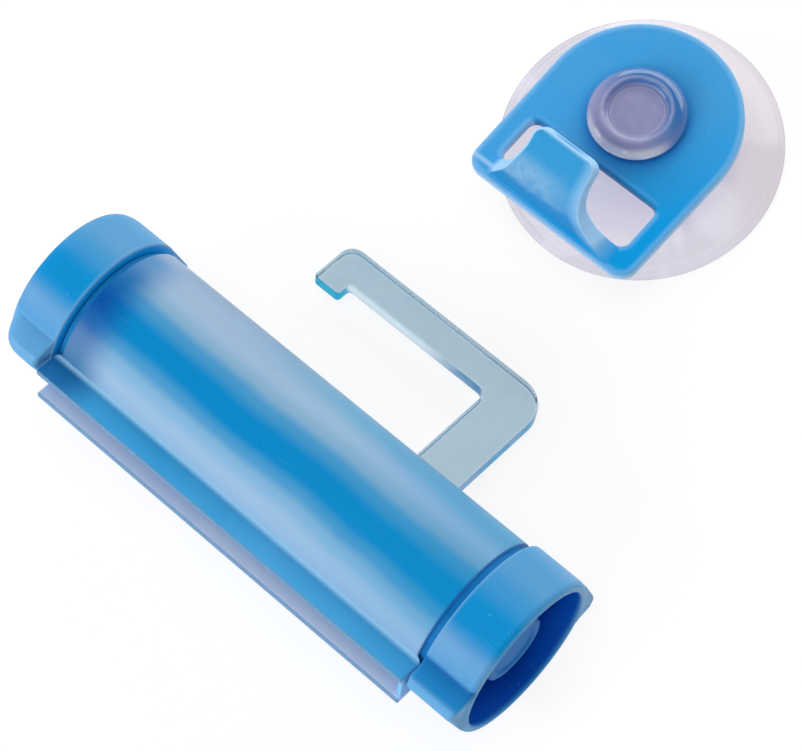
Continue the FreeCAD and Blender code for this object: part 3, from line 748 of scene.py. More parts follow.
def clear_hook(look):
    """Clear pale plate whose cut edges carry painted light, the blue that light gathers in them: deeper to
    the right, painted highlights in places, and a painted white glint along the left part of the bar's inner
    edge."""
    r = Recipe("Clear hook", cloud=34.0, bump=0.03, scuffs=0.3)
    face = tuple(look.hook_face)
    x, y = r.from_middle(BARREL)[:2]
    base = r.blend(r.cloud(), tint(face, 0.96), tint(face, 1.05))
    base = r.blend(r.spread(r.mottle(300.0), 0.55, 1.0, 0.0, 0.25), base, (0.52, 0.68, 0.74))
    # Edge colour: painted light gathered in the cut edges, with painted highlights where the clouds rise.
    edge = r.blend(r.spread(r.cloud(), 0.6, 0.9, 0.0, 0.7), tuple(look.hook_edge_light), (0.72, 0.90, 0.97))
    edge = r.blend(r.spread(x, 2, 12, 0.0, 0.9), edge, (0.0, 0.12, 0.40))
    bar_y = (HOOK_REACH - HOOK_BAR_WIDTH) * math.cos(REST_TILT)
    inner = r.band(y, (bar_y - 1.6, bar_y - 0.8), (bar_y + 1.8, bar_y + 2.6), soft=False)
    glint = r.both(inner, r.spread(r.wavered(x, 4), 10, 0, soft=True))
    edge = r.blend(glint, edge, (0.86, 0.96, 1.0))
    # Painted highlights on the rounded edges, then the painted edge light on the walls.
    base = r.blend(r.spread(r.mark("edge"), 0.0, 0.4, 0.0, 0.3), base, (0.72, 0.88, 0.95))
    base = r.blend(r.spread(r.mark("edge"), 0.45, 0.8), base, edge)
    return r.finish(base, 0.04, 0.08, Transmission_Weight=0.9, IOR=1.22)


def clear_lilac(look):
    """Soft clear plastic of the suction cup: a faint lilac tint in soft petals and one painted highlight
    lobe, painted shade under the plate, pinkish on the far side, and fine painted light and dark rings by
    the edge."""
    r = Recipe("Clear lilac cup", cloud=30.0, bump=0.03, scuffs=0.1)
    lilac = tuple(look.cup_lilac)
    x, y = r.from_middle(HANGER)[:2]
    # Painted shade towards the middle, under the plate, and painted light and dark lines by the rim.
    shaded_rings = r.ramp(r.spread(r.reach_from(HANGER), 0, 30), [
        (0.30, (0.42, 0.42, 0.62)), (0.45, (0.48, 0.47, 0.64)), (0.60, (0.60, 0.58, 0.71)), (0.74, lilac),
        (0.86, lilac), (0.875, tint(lilac, 1.06)), (0.895, tint(lilac, 0.96)), (0.915, tint(lilac, 1.08)),
        (0.93, tint(lilac, 0.93)), (0.94, (0.78, 0.76, 0.83))])
    petal = r.spread(r.cloud(), 0.44, 0.56, 0.0, 0.4, soft=True)
    # One painted highlight lobe.
    highlight_middle = HANGER + np.array([20.5, -2.0, 0.0])
    highlight_lobe = r.spread(r.reach_from(highlight_middle), 6.8, 3.6, 0.0, 0.4, soft=True)
    base = r.blend(r.sum("MAXIMUM", petal, highlight_lobe), shaded_rings, tint(lilac, 1.22))
    pinkish = tuple(v * k for v, k in zip(lilac, (0.95, 0.90, 0.87)))
    base = r.laid(base, r.spread(r.weighed((y, 1.6), (x, 1.0)), 12, 42, soft=True), 0.8, pinkish)
    return r.finish(base, 0.10, 0.18, Transmission_Weight=1.0, IOR=1.33)


def milky_lilac(look):
    """Glossy lilac of the cup's head: a flat grey-lilac dish ringed by painted highlight lines, a side that
    turns blue away from the bar where the plate is painted as seen through it, and a painted highlight
    crescent where the rim gathers light."""
    r = Recipe("Milky lilac head", cloud=240.0, bump=0.05, scuffs=0.1)
    head = tuple(look.head_lilac)
    x, y = r.from_middle(HANGER)[:2]
    reach = r.spread(r.reach_from(HANGER), 0, 10)
    wavy = r.wavered(reach, 0.012)
    dish = r.blend(r.spread(r.mottle(500.0), 0.3, 1.0, 0.0, 0.3), head, tint(head, 1.25))
    # Far side blue: the plate painted as seen through the clear head.
    near = r.spread(r.weighed((y, -1.0), (x, -0.2)), -6, 6, soft=True)
    side = r.blend(near, (0.06, 0.24, 0.60), (0.42, 0.43, 0.70))
    in_dish = r.levels(wavy, ((0.0, 1.0), (0.43, 1.0), (0.50, 0.85), (0.58, 0.7), (0.62, 0.0)))
    base = r.blend(in_dish, side, dish)
    # Painted highlight lines ringing the dish.
    highlight_lines = r.levels(wavy, ((0.49, 0.0), (0.515, 1.0), (0.54, 0.0), (0.62, 0.0), (0.675, 0.8), (0.74, 0.0)))
    base = r.laid(base, highlight_lines, 0.6, (0.70, 0.72, 0.92))
    # A painted highlight crescent on the near rim.
    toward = r.spread(r.weighed((y, -1.0), (x, 0.25)), 2.5, 7.5, soft=True)
    rim = r.both(toward, r.spread(reach, 0.81, 0.92, soft=True))
    base = r.blend(r.both(rim, r.spread(r.cloud(), 0.1, 0.6, 0.6, 1.0)), base, (0.95, 0.94, 1.0))
    return r.finish(base, 0.04, 0.08, Transmission_Weight=0.4, IOR=1.45, Coat_Weight=0.2,
                    Coat_Roughness=0.03)


def plate_blue(look):
    """Satin sky blue of the hanger plate: paler towards its upper left, painted shadow under the head, deep
    on the tongue's foot, painted shade on the window's far wall, with a mottled painted highlight on the
    tongue's crest, a painted highlight along the ridge on the left part of the bar and painted highlights on
    the edges."""
    r = Recipe("Satin blue plate", cloud=70.0, grain=1900.0, bump=0.05, scuffs=0.35)
    blue = tuple(look.plate_blue)
    x, y, z = r.from_middle(HANGER)
    base = r.blend(r.spread(r.weighed((y, 0.8), (x, -1.0)), -30, -1), blue, (0.065, 0.33, 0.66))
    base = r.laid(base, r.cloud(), 0.3, tint(blue, 1.1))
    base = r.grained(base, 0.08, (0.02, 0.48, 0.90))
    mottle = r.mottle(420.0)
    height = r.sum("ADD", z, r.spread(mottle, 0, 1, -0.5, 0.5))
    tongue = r.blend(r.spread(height, 17.5, 22.5, soft=True), (0.0, 0.255, 0.60), (0.005, 0.28, 0.59))
    # A mottled painted highlight on the tongue's crest.
    crest_highlight = r.both(r.band(height, (17.2, 20.0), (21.5, 25.0)), r.spread(x, 5, -4, 0.35, 0.9, soft=True))
    tongue = r.blend(r.both(crest_highlight, r.spread(mottle, 0.0, 0.7, 0.6, 1.0)), tongue, (0.22, 0.44, 0.68))
    top = PLATE_BOTTOM + PLATE_THICKNESS
    base = r.blend(r.spread(z, top + 0.2, top + 1.1, soft=True), base, tongue)
    ridge_y = BAR_RIDGE_INSET - PLATE_BAR_REACH
    # A painted highlight along the bar's ridge.
    ridge_highlight = r.band(y, (ridge_y - 0.9, ridge_y), (ridge_y, ridge_y + 0.9))
    base = r.blend(r.both(ridge_highlight, r.spread(x, -12, -15, 0.0, 0.8, soft=True)), base, (0.34, 0.58, 0.86))
    # Painted shadow of the head round the neck hole.
    base = r.blend(r.spread(r.reach_from(HANGER), 12.5, 8.5, 0.0, 0.65, soft=True), base, (0.0, 0.13, 0.50))
    # The window's far wall, which gets painted shade.
    wall_y = -WINDOW_NEAR
    along_wall = r.band(y, (wall_y - 0.9, wall_y - 0.3), (wall_y + 0.3, wall_y + 1.3), soft=False)
    between = r.spread(r.sum("ABSOLUTE", x), WINDOW_HALF_WIDTH + 1.2, WINDOW_HALF_WIDTH + 0.6)
    far_wall = r.both(along_wall, between)
    # Painted highlights on the edges, kept off the far wall.
    edge = r.both(r.mark("edge"), r.sum("SUBTRACT", 1.0, far_wall))
    base = r.laid(base, edge, 0.9, (0.30, 0.56, 0.85))
    base = r.blend(r.spread(edge, 0.6, 1.0, 0.0, 0.4), base, (0.46, 0.74, 0.98))
    base = r.blend(r.both(far_wall, r.spread(r.mark("edge"), 0.3, 0.7)), base, (0.0, 0.17, 0.40))
    base = r.laid(base, r.marks.outputs["Dust"], 0.15, (0.5, 0.75, 0.95))
    base = r.laid(base, r.marks.outputs["Scuff"], 0.35, (0.3, 0.55, 0.85))
    return r.finish(base, 0.32, 0.40, Specular_IOR_Level=0.16)


# Shapes.

def casing_grids():
    """Casing: outer and inner cross-sections (lip, round back, lip) carried along the barrel. The lips run
    past the tube's ends, so the end's x steps from the tube's half length to the lips'."""
    grids = []
    for radius, half in ((CASING_RADIUS, LIP_HALF_HEIGHT), (CASING_BORE, LIP_HALF_GAP)):
        root = math.degrees(math.asin(half / radius))
        lip_y = -radius * math.cos(math.radians(root))
        top = np.stack([np.linspace(-LIP_REACH, lip_y, 30)[:-1], np.full(29, half)], 1)
        back = arc(radius, 180 - root, root - 180, 300)
        low = np.stack([np.linspace(lip_y, -LIP_REACH, 30)[1:], np.full(29, -half)], 1)
        path = softened_path(np.vstack([top, back, low]), 0.12, CASING_CORNER_BLUR)
        keep = np.r_[np.linspace(0, 0.22, 46)[:-1], np.linspace(0.22, 0.78, 90)[:-1],
                     np.linspace(0.78, 1, 46)]
        run = np.linspace(0, 1, len(path))
        path = np.stack([np.interp(keep, run, path[:, k]) for k in range(2)], 1)
        over = np.clip((-path[:, 0] - LONG_END_START) / 0.35, 0, 1)
        over *= np.abs(path[:, 1]) < LIP_HALF_HEIGHT + 0.4
        end = CASING_HALF_LENGTH + (LIP_HALF_LENGTH - CASING_HALF_LENGTH) * over
        share = np.r_[-1, -0.985, np.linspace(-0.96, 0.96, 13), 0.985, 1]
        grids.append(np.stack([share[:, None] * end[None, :],
                               np.repeat(path[None, :, 0], len(share), 0),
                               np.repeat(path[None, :, 1], len(share), 0)], -1))
    return grids


def casing_marks(outer, inner):
    """Marks for the casing: lip is 1 on the outside of the lips and inside is 1 on the inner surface."""
    y = np.concatenate([outer[..., 1].ravel(), inner[..., 1].ravel()])
    outside = np.repeat([1.0, 0.0], outer[..., 0].size)
    lip = np.clip((-y - MOUTH_START) / 0.5, 0, 1)
    return {"lip": lip * outside, "inside": 1 - outside}


def end_wall_grids():
    """End wall of the mouth: two flat patches between the lips, the wall's thickness apart."""
    half = LIP_HALF_GAP + 0.5
    y, z = np.meshgrid(np.linspace(-LIP_REACH + END_WALL_SETBACK, -MOUTH_START, 6),
                       np.linspace(-half, half, 8), indexing="ij")
    ends = (LIP_HALF_LENGTH - 0.02, LIP_HALF_LENGTH - END_WALL)
    return [np.stack([np.full_like(y, x), y, z], -1) for x in ends]


def knob_section(depth):
    """Knob seen from its end: a circle with two fins, each a flat face tangent to the circle, a blunt tip
    and a back that is a parabola, sunk by the crease depth. Gives the angle and radius of its outline, and
    two marks: hollow, where shade is painted, fades from the crease up the fin's back; flank, where light
    is painted, covers that back."""
    lead = math.degrees(math.acos(KNOB_RADIUS / FIN_TIP_RADIUS))
    outline = []
    for turn in (0, 180):
        tip = FIN_TIP_DEG + turn
        crease = arc(KNOB_RADIUS, tip - FIN_CREASE_DEG, tip - FIN_CREASE_DEG, 1)[0]
        inner = arc(FIN_INNER_TIP_RADIUS, tip - FIN_TIP_WIDTH_DEG, tip - FIN_TIP_WIDTH_DEG, 1)[0]
        u = np.linspace(0, 1, 24)[:, None]
        middle = (inner + crease) / 2
        pull = middle * (1 - 2 * depth / np.linalg.norm(middle))
        back = crease * (1 - u) ** 2 + 2 * pull * u * (1 - u) + inner * u ** 2
        outline += [back, arc(FIN_TIP_RADIUS, tip, tip, 1), arc(KNOB_RADIUS, tip + lead, tip + lead, 1)]
        outline += [arc(KNOB_RADIUS, tip + lead, tip + 180 - FIN_CREASE_DEG, 160)[1:-1]]
    loop = softened_loop(np.vstack(outline), 0.1, 0.25)
    angle = np.unwrap(np.arctan2(loop[:, 1], loop[:, 0]))
    radius = np.hypot(loop[:, 0], loop[:, 1])
    dense = np.cumsum(1.0 + 220 * np.abs(np.gradient(radius)))
    pick = np.interp(np.linspace(dense[0], dense[-1], 720, endpoint=False), dense, np.arange(len(dense)))
    theta = np.interp(pick, np.arange(len(angle)), angle)
    section = np.interp(pick, np.arange(len(radius)), radius)
    up = (np.degrees(theta) - FIN_TIP_DEG + FIN_CREASE_DEG + 90) % 180 - 90
    # hollow: where painted shade goes along the crease; flank: where the fin's back is painted lighter.
    hollow = np.exp(-(up / np.where(up > 0, 7.0, 1.1)) ** 2) * (depth > 0)
    flank = np.clip((up + 2.5) / 4, 0, 1) * np.clip((FIN_CREASE_DEG - 3 - up) / 4, 0, 1)
    return theta, section, hollow, flank


def knob_rows(section, corner, face_length):
    """Knob: rows of (x, radius, edge, inside) that run from the back's middle over the ring and fins, round
    into the cup, along the web and up the hub. Where a fin stands out of the ring, its height is scaled down
    towards its two round corners. The ring's open end is a quarter ellipse, face_length long."""
    ones = np.ones_like(section)
    stands = np.clip((section - KNOB_RADIUS) / 0.15, 0, 1)
    # edge marks where painted highlights go, inside where painted shade goes.
    rows = []

    def ring_row(x, radius, edge=0.0, inside=0.0):
        rows.append((x * ones, radius * ones, edge * ones, inside * ones))

    def ring_radius(x):
        face = cut_back(face_length, KNOB_FACE - x) * KNOB_FACE_ROUND / face_length
        return KNOB_RADIUS - cut_back(KNOB_BACK_ROUND, x - KNOB_BACK) - face

    low = KNOB_BACK + FIN_END_INSET
    high = KNOB_FACE - FIN_END_INSET
    for share in (0.3, 0.55, 0.8, 0.93, 0.97):
        ring_row(KNOB_BACK, share * KNOB_RADIUS)
    for x in KNOB_BACK + FIN_END_INSET * np.array([0.0, 0.12, 0.35, 0.68, 1.0]):
        ring_row(x, ring_radius(x), 1.0)
    run = rounding(8)[1]
    near = low + np.r_[run, 1.15] * FIN_BACK_CORNER
    far = high - (np.r_[run, 1.08] * corner)[::-1]
    for x in np.r_[near, np.linspace(near[-1], far[0], 10)[1:-1], far]:
        ring = ring_radius(x)
        limit = FIN_TIP_RADIUS + 0.02 - cut_back(FIN_BACK_CORNER, x - low) - cut_back(corner, high - x)
        share = np.clip((limit - ring) / (FIN_TIP_RADIUS - ring), 0, 1)
        radius = ring + stands * np.maximum(section - ring, 0) * share
        tip = np.clip((radius - FIN_INNER_TIP_RADIUS + 0.9) / 0.6, 0, 1)
        back_edge = math.exp(-((x - low) / 0.25) ** 2)
        rows.append((x * ones, radius, np.maximum(tip, back_edge), 0 * ones))
    for s, c in zip(*rounding(6, math.degrees(math.asin(1 - FIN_END_INSET / face_length)))):
        ring_row(KNOB_FACE - face_length * (1 - s), KNOB_RADIUS - KNOB_FACE_ROUND * c, 0.5)
    for s, c in zip(*rounding(5)):
        ring_row(KNOB_FACE - KNOB_RIM_ROUND * c, KNOB_CUP_RADIUS + KNOB_RIM_ROUND * (1 - s), 0.5, 0.4 * c)
    web = KNOB_BACK + KNOB_WEB
    for x in np.linspace(KNOB_FACE - 1.0, web + KNOB_WEB_FILLET + 0.2, 8):
        ring_row(x, KNOB_CUP_RADIUS, 0, 1)
    for s, c in zip(*rounding(6)):
        ring_row(web + KNOB_WEB_FILLET * (1 - s), KNOB_CUP_RADIUS - KNOB_WEB_FILLET * c, 0, 1)
    ring_row(web, (KNOB_CUP_RADIUS + HUB_RADIUS) / 2, 0, 1)
    for s, c in zip(*rounding(5)):
        ring_row(web + HUB_FILLET * c, HUB_RADIUS + HUB_FILLET * (1 - s), 0, 1)
    ring_row(CAP_BACK - 1.0, HUB_RADIUS, 0, 0.4)
    ring_row(CAP_BACK - 0.2, HUB_RADIUS, 0.2, 0.2)
    ring_row(CAP_BACK, HUB_RADIUS - 0.2, 0.2, 0)
    ring_row(CAP_BACK, HUB_RADIUS / 2, 0, 0)
    return [np.array(part) for part in zip(*rows)]


def knob_piece(name, side, corner, depth, face_length):
    """One knob from its rows, with its two ends closed by discs; the left one is the mirror image. Its marks
    say where light and shade are painted: highlights on the edges, shade in the cup's inside, light on the
    face at the back, and on the backs of the fins shade in the hollow at the crease and light on the flank,
    which is called a scoop where the fins are creased."""
    theta, section, hollow, flank = knob_section(depth)
    x, radius, edge, inside = knob_rows(section, corner, face_length)
    grid = np.stack([x, radius * np.cos(theta), radius * np.sin(theta)], -1)
    rows, columns = grid.shape[:2]
    poles = [[KNOB_BACK, 0, 0], [CAP_BACK, 0, 0]]
    points = np.vstack([grid.reshape(-1, 3), poles]) * np.array([side, 1, 1])
    outside = (radius > KNOB_RADIUS - 0.9) * (1 - inside)
    hollow = hollow * outside
    # back: the face at the back, painted lighter against its shadow.
    back = (x <= KNOB_BACK) * (radius < KNOB_RADIUS - 0.45)
    marks = {"edge": edge * (1 - hollow), "inside": inside, "hollow": hollow, "back": back,
             "scoop" if depth > 0 else "flank": flank * outside}
    marks = {mark: np.r_[values.ravel(), 0, 0] for mark, values in marks.items()}
    sides = grid_faces(rows, columns, True)
    piece = make_piece(name, on_axis(points), sides, end_fans(rows, columns), marks)
    weigh_normals(piece)
    return piece


def mirrored_soft(profile, spacing, blur):
    """A turned profile (along, out) with rounded corners: it is joined to its mirror image across the axis,
    softened as a loop, and cut back to the half that stands out from the axis."""
    loop = softened_loop(np.vstack([profile, (profile[::-1] * np.array([1, -1]))[1:-1]]), spacing, blur)
    half = loop[loop[:, 1] > spacing * 0.4]
    half = np.roll(half, -np.argmin(np.linalg.norm(half - profile[0], axis=1)), 0)
    return np.vstack([[half[0, 0], 0.0], by_turning(half, 0.5, 5.0), [half[-1, 0], 0.0]])


def cap_profile():
    """Cap: a disc with a rounded edge and a shallow dished middle."""
    back = CAP_BACK + 0.05
    face = CAP_FACE - 0.02
    floor = CAP_FACE - CAP_DIMPLE_DEPTH
    edge = HUB_RADIUS - 0.05
    out = [(back, 0.0), (back, edge - 0.15), (back + 0.15, edge), (face - 0.6, edge),
           (face - 0.2, edge - 0.15), (face, edge - 0.55), (face, CAP_DIMPLE_RADIUS + 0.3),
           (face - 0.2, CAP_DIMPLE_RADIUS), (floor, CAP_DIMPLE_RADIUS - 0.3), (floor, 0.0)]
    return mirrored_soft(np.array(out), 0.05, 0.09)


def skirt_profile():
    """Suction cup without its head: hollow underside, thin rim, domed skirt and neck."""
    inner = through([(0, CUP_CORE_HEIGHT), (5.0, 6.5), (11.0, 5.4), (18.0, 3.6), (23.5, 1.7),
                     (26.6, 0.15)], 90)
    edge = CUP_RADIUS - 0.02
    rim = np.array([(26.9, 0.03), (edge - 0.25, 0.03), (edge, 0.25), (edge, CUP_RIM_HEIGHT - 0.1)])
    shoulder = CUP_SHOULDER_HEIGHT
    outer = through([(edge - 0.13, CUP_RIM_HEIGHT + 0.15), (24.5, 2.6), (20.0, 5.0), (14.5, 7.9),
                     (11.2, 9.7), (9.9, 10.7), (CUP_SHOULDER_RADIUS, shoulder)], 90)
    neck_top = HEAD_LOW + 0.3
    neck = np.array([(8.6, shoulder + 0.05), (6.0, shoulder + 0.1), (NECK_RADIUS, shoulder + 0.4),
                     (NECK_RADIUS, neck_top), (0, neck_top)])
    return mirrored_soft(np.vstack([inner, rim, outer, neck])[:, ::-1], 0.1, 0.16)


def head_profile():
    """Mushroom head: flat underside, fat rounded side, narrow crown and a dished top."""
    under = np.array([(0, HEAD_LOW), (8.4, HEAD_LOW)])
    side = through([(8.8, HEAD_LOW + 0.08), (HEAD_RADIUS - 0.25, HEAD_LOW + 0.4), (HEAD_RADIUS - 0.02, 15.6),
                    (9.45, 16.4), (8.7, 17.2), (7.7, HEAD_TOP - 0.12), (7.0, HEAD_TOP - 0.03)], 60)
    low = HEAD_TOP - DISH_DEPTH
    dish = np.array([(DISH_RADIUS + 0.3, HEAD_TOP - 0.06), (DISH_RADIUS, HEAD_TOP - 0.35),
                     (DISH_RADIUS - 0.15, low + 0.3), (DISH_RADIUS - 0.6, low), (2.0, low - 0.04),
                     (0, low - 0.05)])
    return mirrored_soft(np.vstack([under, side, dish])[:, ::-1], 0.08, 0.13)


def hook_outline():
    """Hook seen from above: the arm leaves the barrel, turns by a large round and becomes the long bar,
    which ends in a short tooth that points back to the barrel."""
    start = CASING_RADIUS + 0.2
    bar = HOOK_REACH - HOOK_BAR_WIDTH
    tooth = bar - HOOK_TOOTH_DEPTH
    tooth_x = HOOK_LEFT_X + HOOK_TOOTH_WIDTH
    corners = [(HOOK_ARM_LOW_X, start, 0.3), (HOOK_ARM_HIGH_X, start, 0.3),
               (HOOK_ARM_HIGH_X, HOOK_REACH, HOOK_OUTER_ROUND), (HOOK_LEFT_X, HOOK_REACH, HOOK_END_ROUND),
               (HOOK_LEFT_X, tooth, HOOK_TOOTH_ROUND), (tooth_x, tooth, HOOK_TOOTH_ROUND),
               (tooth_x, bar, HOOK_TOOTH_ROUND), (HOOK_ARM_LOW_X, bar, HOOK_INNER_ROUND)]
    return evenly(filleted(corners, 14), 0.5, True)


def pad_grids():
    """Pad: two patches of circles about the barrel axis, the pad's thickness apart."""
    middle = HOOK_BOTTOM + HOOK_THICKNESS / 2
    outer_radius = CASING_RADIUS + PAD_THICKNESS
    low, high = (math.asin((middle + side * PAD_HALF_HEIGHT) / outer_radius) for side in (-1, 1))
    along = np.linspace(HOOK_ARM_LOW_X - PAD_MARGIN, HOOK_ARM_HIGH_X + PAD_MARGIN, 20)
    t, x = np.meshgrid(np.linspace(low, high, 24), along, indexing="ij")
    return [np.stack([x, r * np.cos(t), r * np.sin(t)], -1) for r in (outer_radius, CASING_RADIUS + 0.02)]


def hanger_outline():
    """Hanger plate seen from above: a round end, two tangent sides and rounded corners at the bar."""
    corner = np.array([PLATE_CORNER_X, -PLATE_BAR_REACH + PLATE_CORNER_ROUND])
    spread = math.acos((PLATE_RADIUS - PLATE_CORNER_ROUND) / np.linalg.norm(corner))
    angle = math.degrees(math.atan2(corner[1], corner[0]) + spread)
    top = arc(PLATE_RADIUS, angle, 180 - angle, 160)
    left = arc(PLATE_CORNER_ROUND, 180 - angle, 270, 16, corner * np.array([-1, 1]))
    right = arc(PLATE_CORNER_ROUND, 270, 360 + angle, 16, corner)
    return evenly(np.vstack([top, left, right]), 0.5, True)


def hanger_holes():
    """The window and the neck hole, both clockwise, so that their walls face into the holes."""
    half = WINDOW_HALF_WIDTH
    window = filleted([(-half, -WINDOW_FAR, WINDOW_ROUND), (half, -WINDOW_FAR, WINDOW_ROUND),
                       (half, -WINDOW_NEAR, WINDOW_ROUND), (-half, -WINDOW_NEAR, WINDOW_ROUND)])
    return evenly(window, 0.5, True)[::-1], arc(PLATE_HOLE_RADIUS, 0, 360, 121)[:-1][::-1]


def circle_through(a, b, c):
    """Centre and radius of the circle through three points."""
    a, b, c = (np.asarray(p, float) for p in (a, b, c))
    centre = np.linalg.solve(2 * np.array([b - a, c - a]), np.array([b @ b - a @ a, c @ c - a @ a]))
    return centre, np.linalg.norm(a - centre)


def tongue_sides(height):
    """Left and right edge of the tongue: arcs that bring the wide foot in to the waist."""
    edges = []
    for side in (-1, 1):
        waist = side * TONGUE_HALF_WIDTH - TONGUE_OFF_CENTRE
        centre, radius = circle_through((side * TONGUE_BASE_HALF_WIDTH, 0),
                                        (waist + side * TONGUE_BEND_OUT, TONGUE_BEND_UP),
                                        (waist, TONGUE_FLARE_HEIGHT))
        edges.append(centre[0] - side * np.sqrt(np.maximum(0, radius ** 2 - (height - centre[1]) ** 2)))
    return edges


def bar_section(flat=36, steps=7):
    """Rounded rectangle as four arrays: the corner that a point belongs to, from -1 to 1 across and -1 or 1
    up, and its direction on the corner's circle; a point is corner * (half size - r) + direction * r."""
    t = np.radians(np.linspace(0, 90, steps))
    near, far = np.linspace(1, 0.9, 3), np.linspace(-0.9, -1, 3)
    along = np.r_[near[1:-1], np.linspace(0.9, -0.9, flat), far[1:-1]]
    one, none = np.ones(steps), np.zeros(len(along))
    across = np.r_[one, along, -one, -one, -along, one]
    up = np.r_[one, none + 1, one, -one, none - 1, -one]
    turn_x = np.r_[np.cos(t), none, -np.sin(t), -np.cos(t), none, np.sin(t)]
    turn_y = np.r_[np.sin(t), none + 1, np.cos(t), -np.sin(t), none - 1, -np.cos(t)]
    return across, up, turn_x, turn_y


def tongue_piece(name, place):
    """Tongue: a rounded rectangle carried along a line that rises from the bar and leans over the window.
    Its width follows the side arcs, its tip corners are round in the sheet, and its foot swells onto the
    bar."""
    line = evenly(through(TONGUE_LINE, 400), 0.05, False)
    step = np.linalg.norm(np.diff(line, axis=0), axis=1)
    run = np.r_[0.0, np.cumsum(step)]
    r = TONGUE_EDGE_ROUND
    rise = rounding(9)[0]
    corner = (TONGUE_CORNER_ROUND - r) * (1 - rise[:-1]) + r
    near_tip = run[-1] - np.r_[corner, r * (1 - rise)]
    at = np.r_[np.linspace(0, near_tip[0], 80)[:-1], near_tip]
    centre = np.stack([np.interp(at, run, line[:, k]) for k in range(2)], 1)
    n = side_normals(line)
    n = np.stack([np.interp(at, run, n[:, k]) for k in range(2)], 1)
    to_tip = run[-1] - at
    height = centre[:, 1] - PLATE_THICKNESS / 2
    left, right = tongue_sides(np.clip(height, 0, TONGUE_FLARE_HEIGHT))
    half = (right - left) / 2 - cut_back(TONGUE_CORNER_ROUND, to_tip)
    swell = TONGUE_FOOT_SWELL * np.exp(-np.clip(height, 0, None) / 0.8)
    end = cut_back(r, to_tip)
    across, up, turn_x, turn_y = bar_section()
    x = ((left + right) / 2)[:, None] + across * (half - r)[:, None] + turn_x * (r - end)[:, None]
    thick = up * (TONGUE_THICKNESS / 2 - r) + turn_y * (r - end)[:, None] - (up < 0) * swell[:, None]
    grid = np.concatenate([x[..., None], centre[:, None, :] + n[:, None, :] * thick[..., None]], -1)
    grid[..., 2] += PLATE_BOTTOM + PLATE_THICKNESS / 2
    poles = np.array([grid[0].mean(0), grid[-1].mean(0)])
    # edge marks where the material paints highlights on the tongue's rounds, flare and tip.
    above_foot = np.clip(height / 1.5, 0, 1)[:, None]
    round_part = np.clip(np.abs(turn_x) * 2, 0, 1)[None, :] * above_foot
    flare = 0.6 * np.clip((across - 0.72) / 0.28, 0, 1)[None, :] * above_foot
    edge = np.maximum(np.maximum(round_part, flare), np.clip(1 - to_tip / r, 0, 1)[:, None])
    rows, columns = x.shape
    points = np.vstack([grid.reshape(-1, 3), poles])
    marks = {"edge": np.r_[edge.ravel(), 0, 0]}
    sides = grid_faces(rows, columns, True)
    piece = make_piece(name, place(points), sides, end_fans(rows, columns), marks)
    weigh_normals(piece)
    return piece


# Settings that a user may change before the pieces are built.

def colour_setting(name, description, default):
    """A colour that the panel shows."""
    return FloatVectorProperty(name=name, description=description, subtype="COLOR", size=3, min=0, max=1,
                               default=default)


class WinderLook(bpy.types.PropertyGroup):
    """Colours and small sizes of the winder and its hanger."""

    casing_blue: colour_setting("Casing blue", "Deep colour of the frosted casing", (0.0, 0.22, 0.53))
    # Painted highlight colour of the casing's milky bands.
    casing_highlight: colour_setting("Casing milk", "Milky colour where light gathers", (0.28, 0.44, 0.62))
    knob_blue: colour_setting("Knob blue", "Colour of both knobs", (0.0, 0.255, 0.60))
    hook_face: colour_setting("Hook face", "Tint of the clear hook's flat faces", (0.46, 0.59, 0.68))
    # Painted colour of the light gathered in the hook's edges.
    hook_edge_light: colour_setting("Hook edge", "Colour gathered in the hook's edges", (0.0, 0.27, 0.56))
    cup_lilac: colour_setting("Cup tint", "Tint of the clear suction cup", (0.74, 0.72, 0.80))
    head_lilac: colour_setting("Head tint", "Tint of the suction cup's head", (0.43, 0.43, 0.68))
    plate_blue: colour_setting("Plate blue", "Colour of the hanger plate", (0.0, 0.29, 0.69))
    edge_round: FloatProperty(name="Edge round", description="Round of the casing's edges, in millimetres",
                              min=0.05, max=0.6, default=0.4)
    floor_size: FloatProperty(name="Floor size", description="Side of the square floor",
                              subtype="DISTANCE", unit="LENGTH", min=1.0, max=40.0, default=12.0)


def settle(piece, material, body, node):
    """Gives a piece its material and its body, and hides the part that it stands for."""
    wear(piece, material)
    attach(piece, body)
    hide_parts(node)


# Operators, one for each group of pieces.

class WINDER_OT_casing(bpy.types.Operator):
    """Build the frosted casing, the wall at its mouth's end and the finish of the two end plates."""

    bl_idname = "winder.casing"
    bl_label = "Casing"

    def execute(self, context):
        look = context.scene.winder_look
        frosted = frosted_blue(look)
        outer, inner = casing_grids()
        marks = casing_marks(outer, inner)
        shell = walled_piece("casing_shell", outer, inner, in_casing, look.edge_round, marks)
        settle(shell, frosted, "casing", "casing")
        near, far = end_wall_grids()
        count = near[..., 0].size * 2
        marks = {"lip": np.ones(count), "inside": np.full(count, 0.2)}
        wall = walled_piece("mouth_end_wall", near, far, in_casing, 0.3, marks)
        settle(wall, frosted, "casing", "casing")
        collar = dark_collar()
        for node in ("left_end_plate", "right_end_plate"):
            wear(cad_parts[node], collar)
        return {"FINISHED"}


class WINDER_OT_hook(bpy.types.Operator):
    """Build the clear hanging hook and its bonding pad."""

    bl_idname = "winder.hook"
    bl_label = "Hanging hook"

    def execute(self, context):
        clear = clear_hook(context.scene.winder_look)
        plate = plate_piece("hook_plate", [hook_outline()], HOOK_BOTTOM, HOOK_BOTTOM + HOOK_THICKNESS,
                            [HOOK_EDGE_ROUND], in_casing, glow=0.15)
        outer, inner = pad_grids()
        pad = walled_piece("hook_pad", outer, inner, in_casing, 0.3)
        for piece in (plate, pad):
            settle(piece, clear, "casing", "hanging_hook")
        return {"FINISHED"}


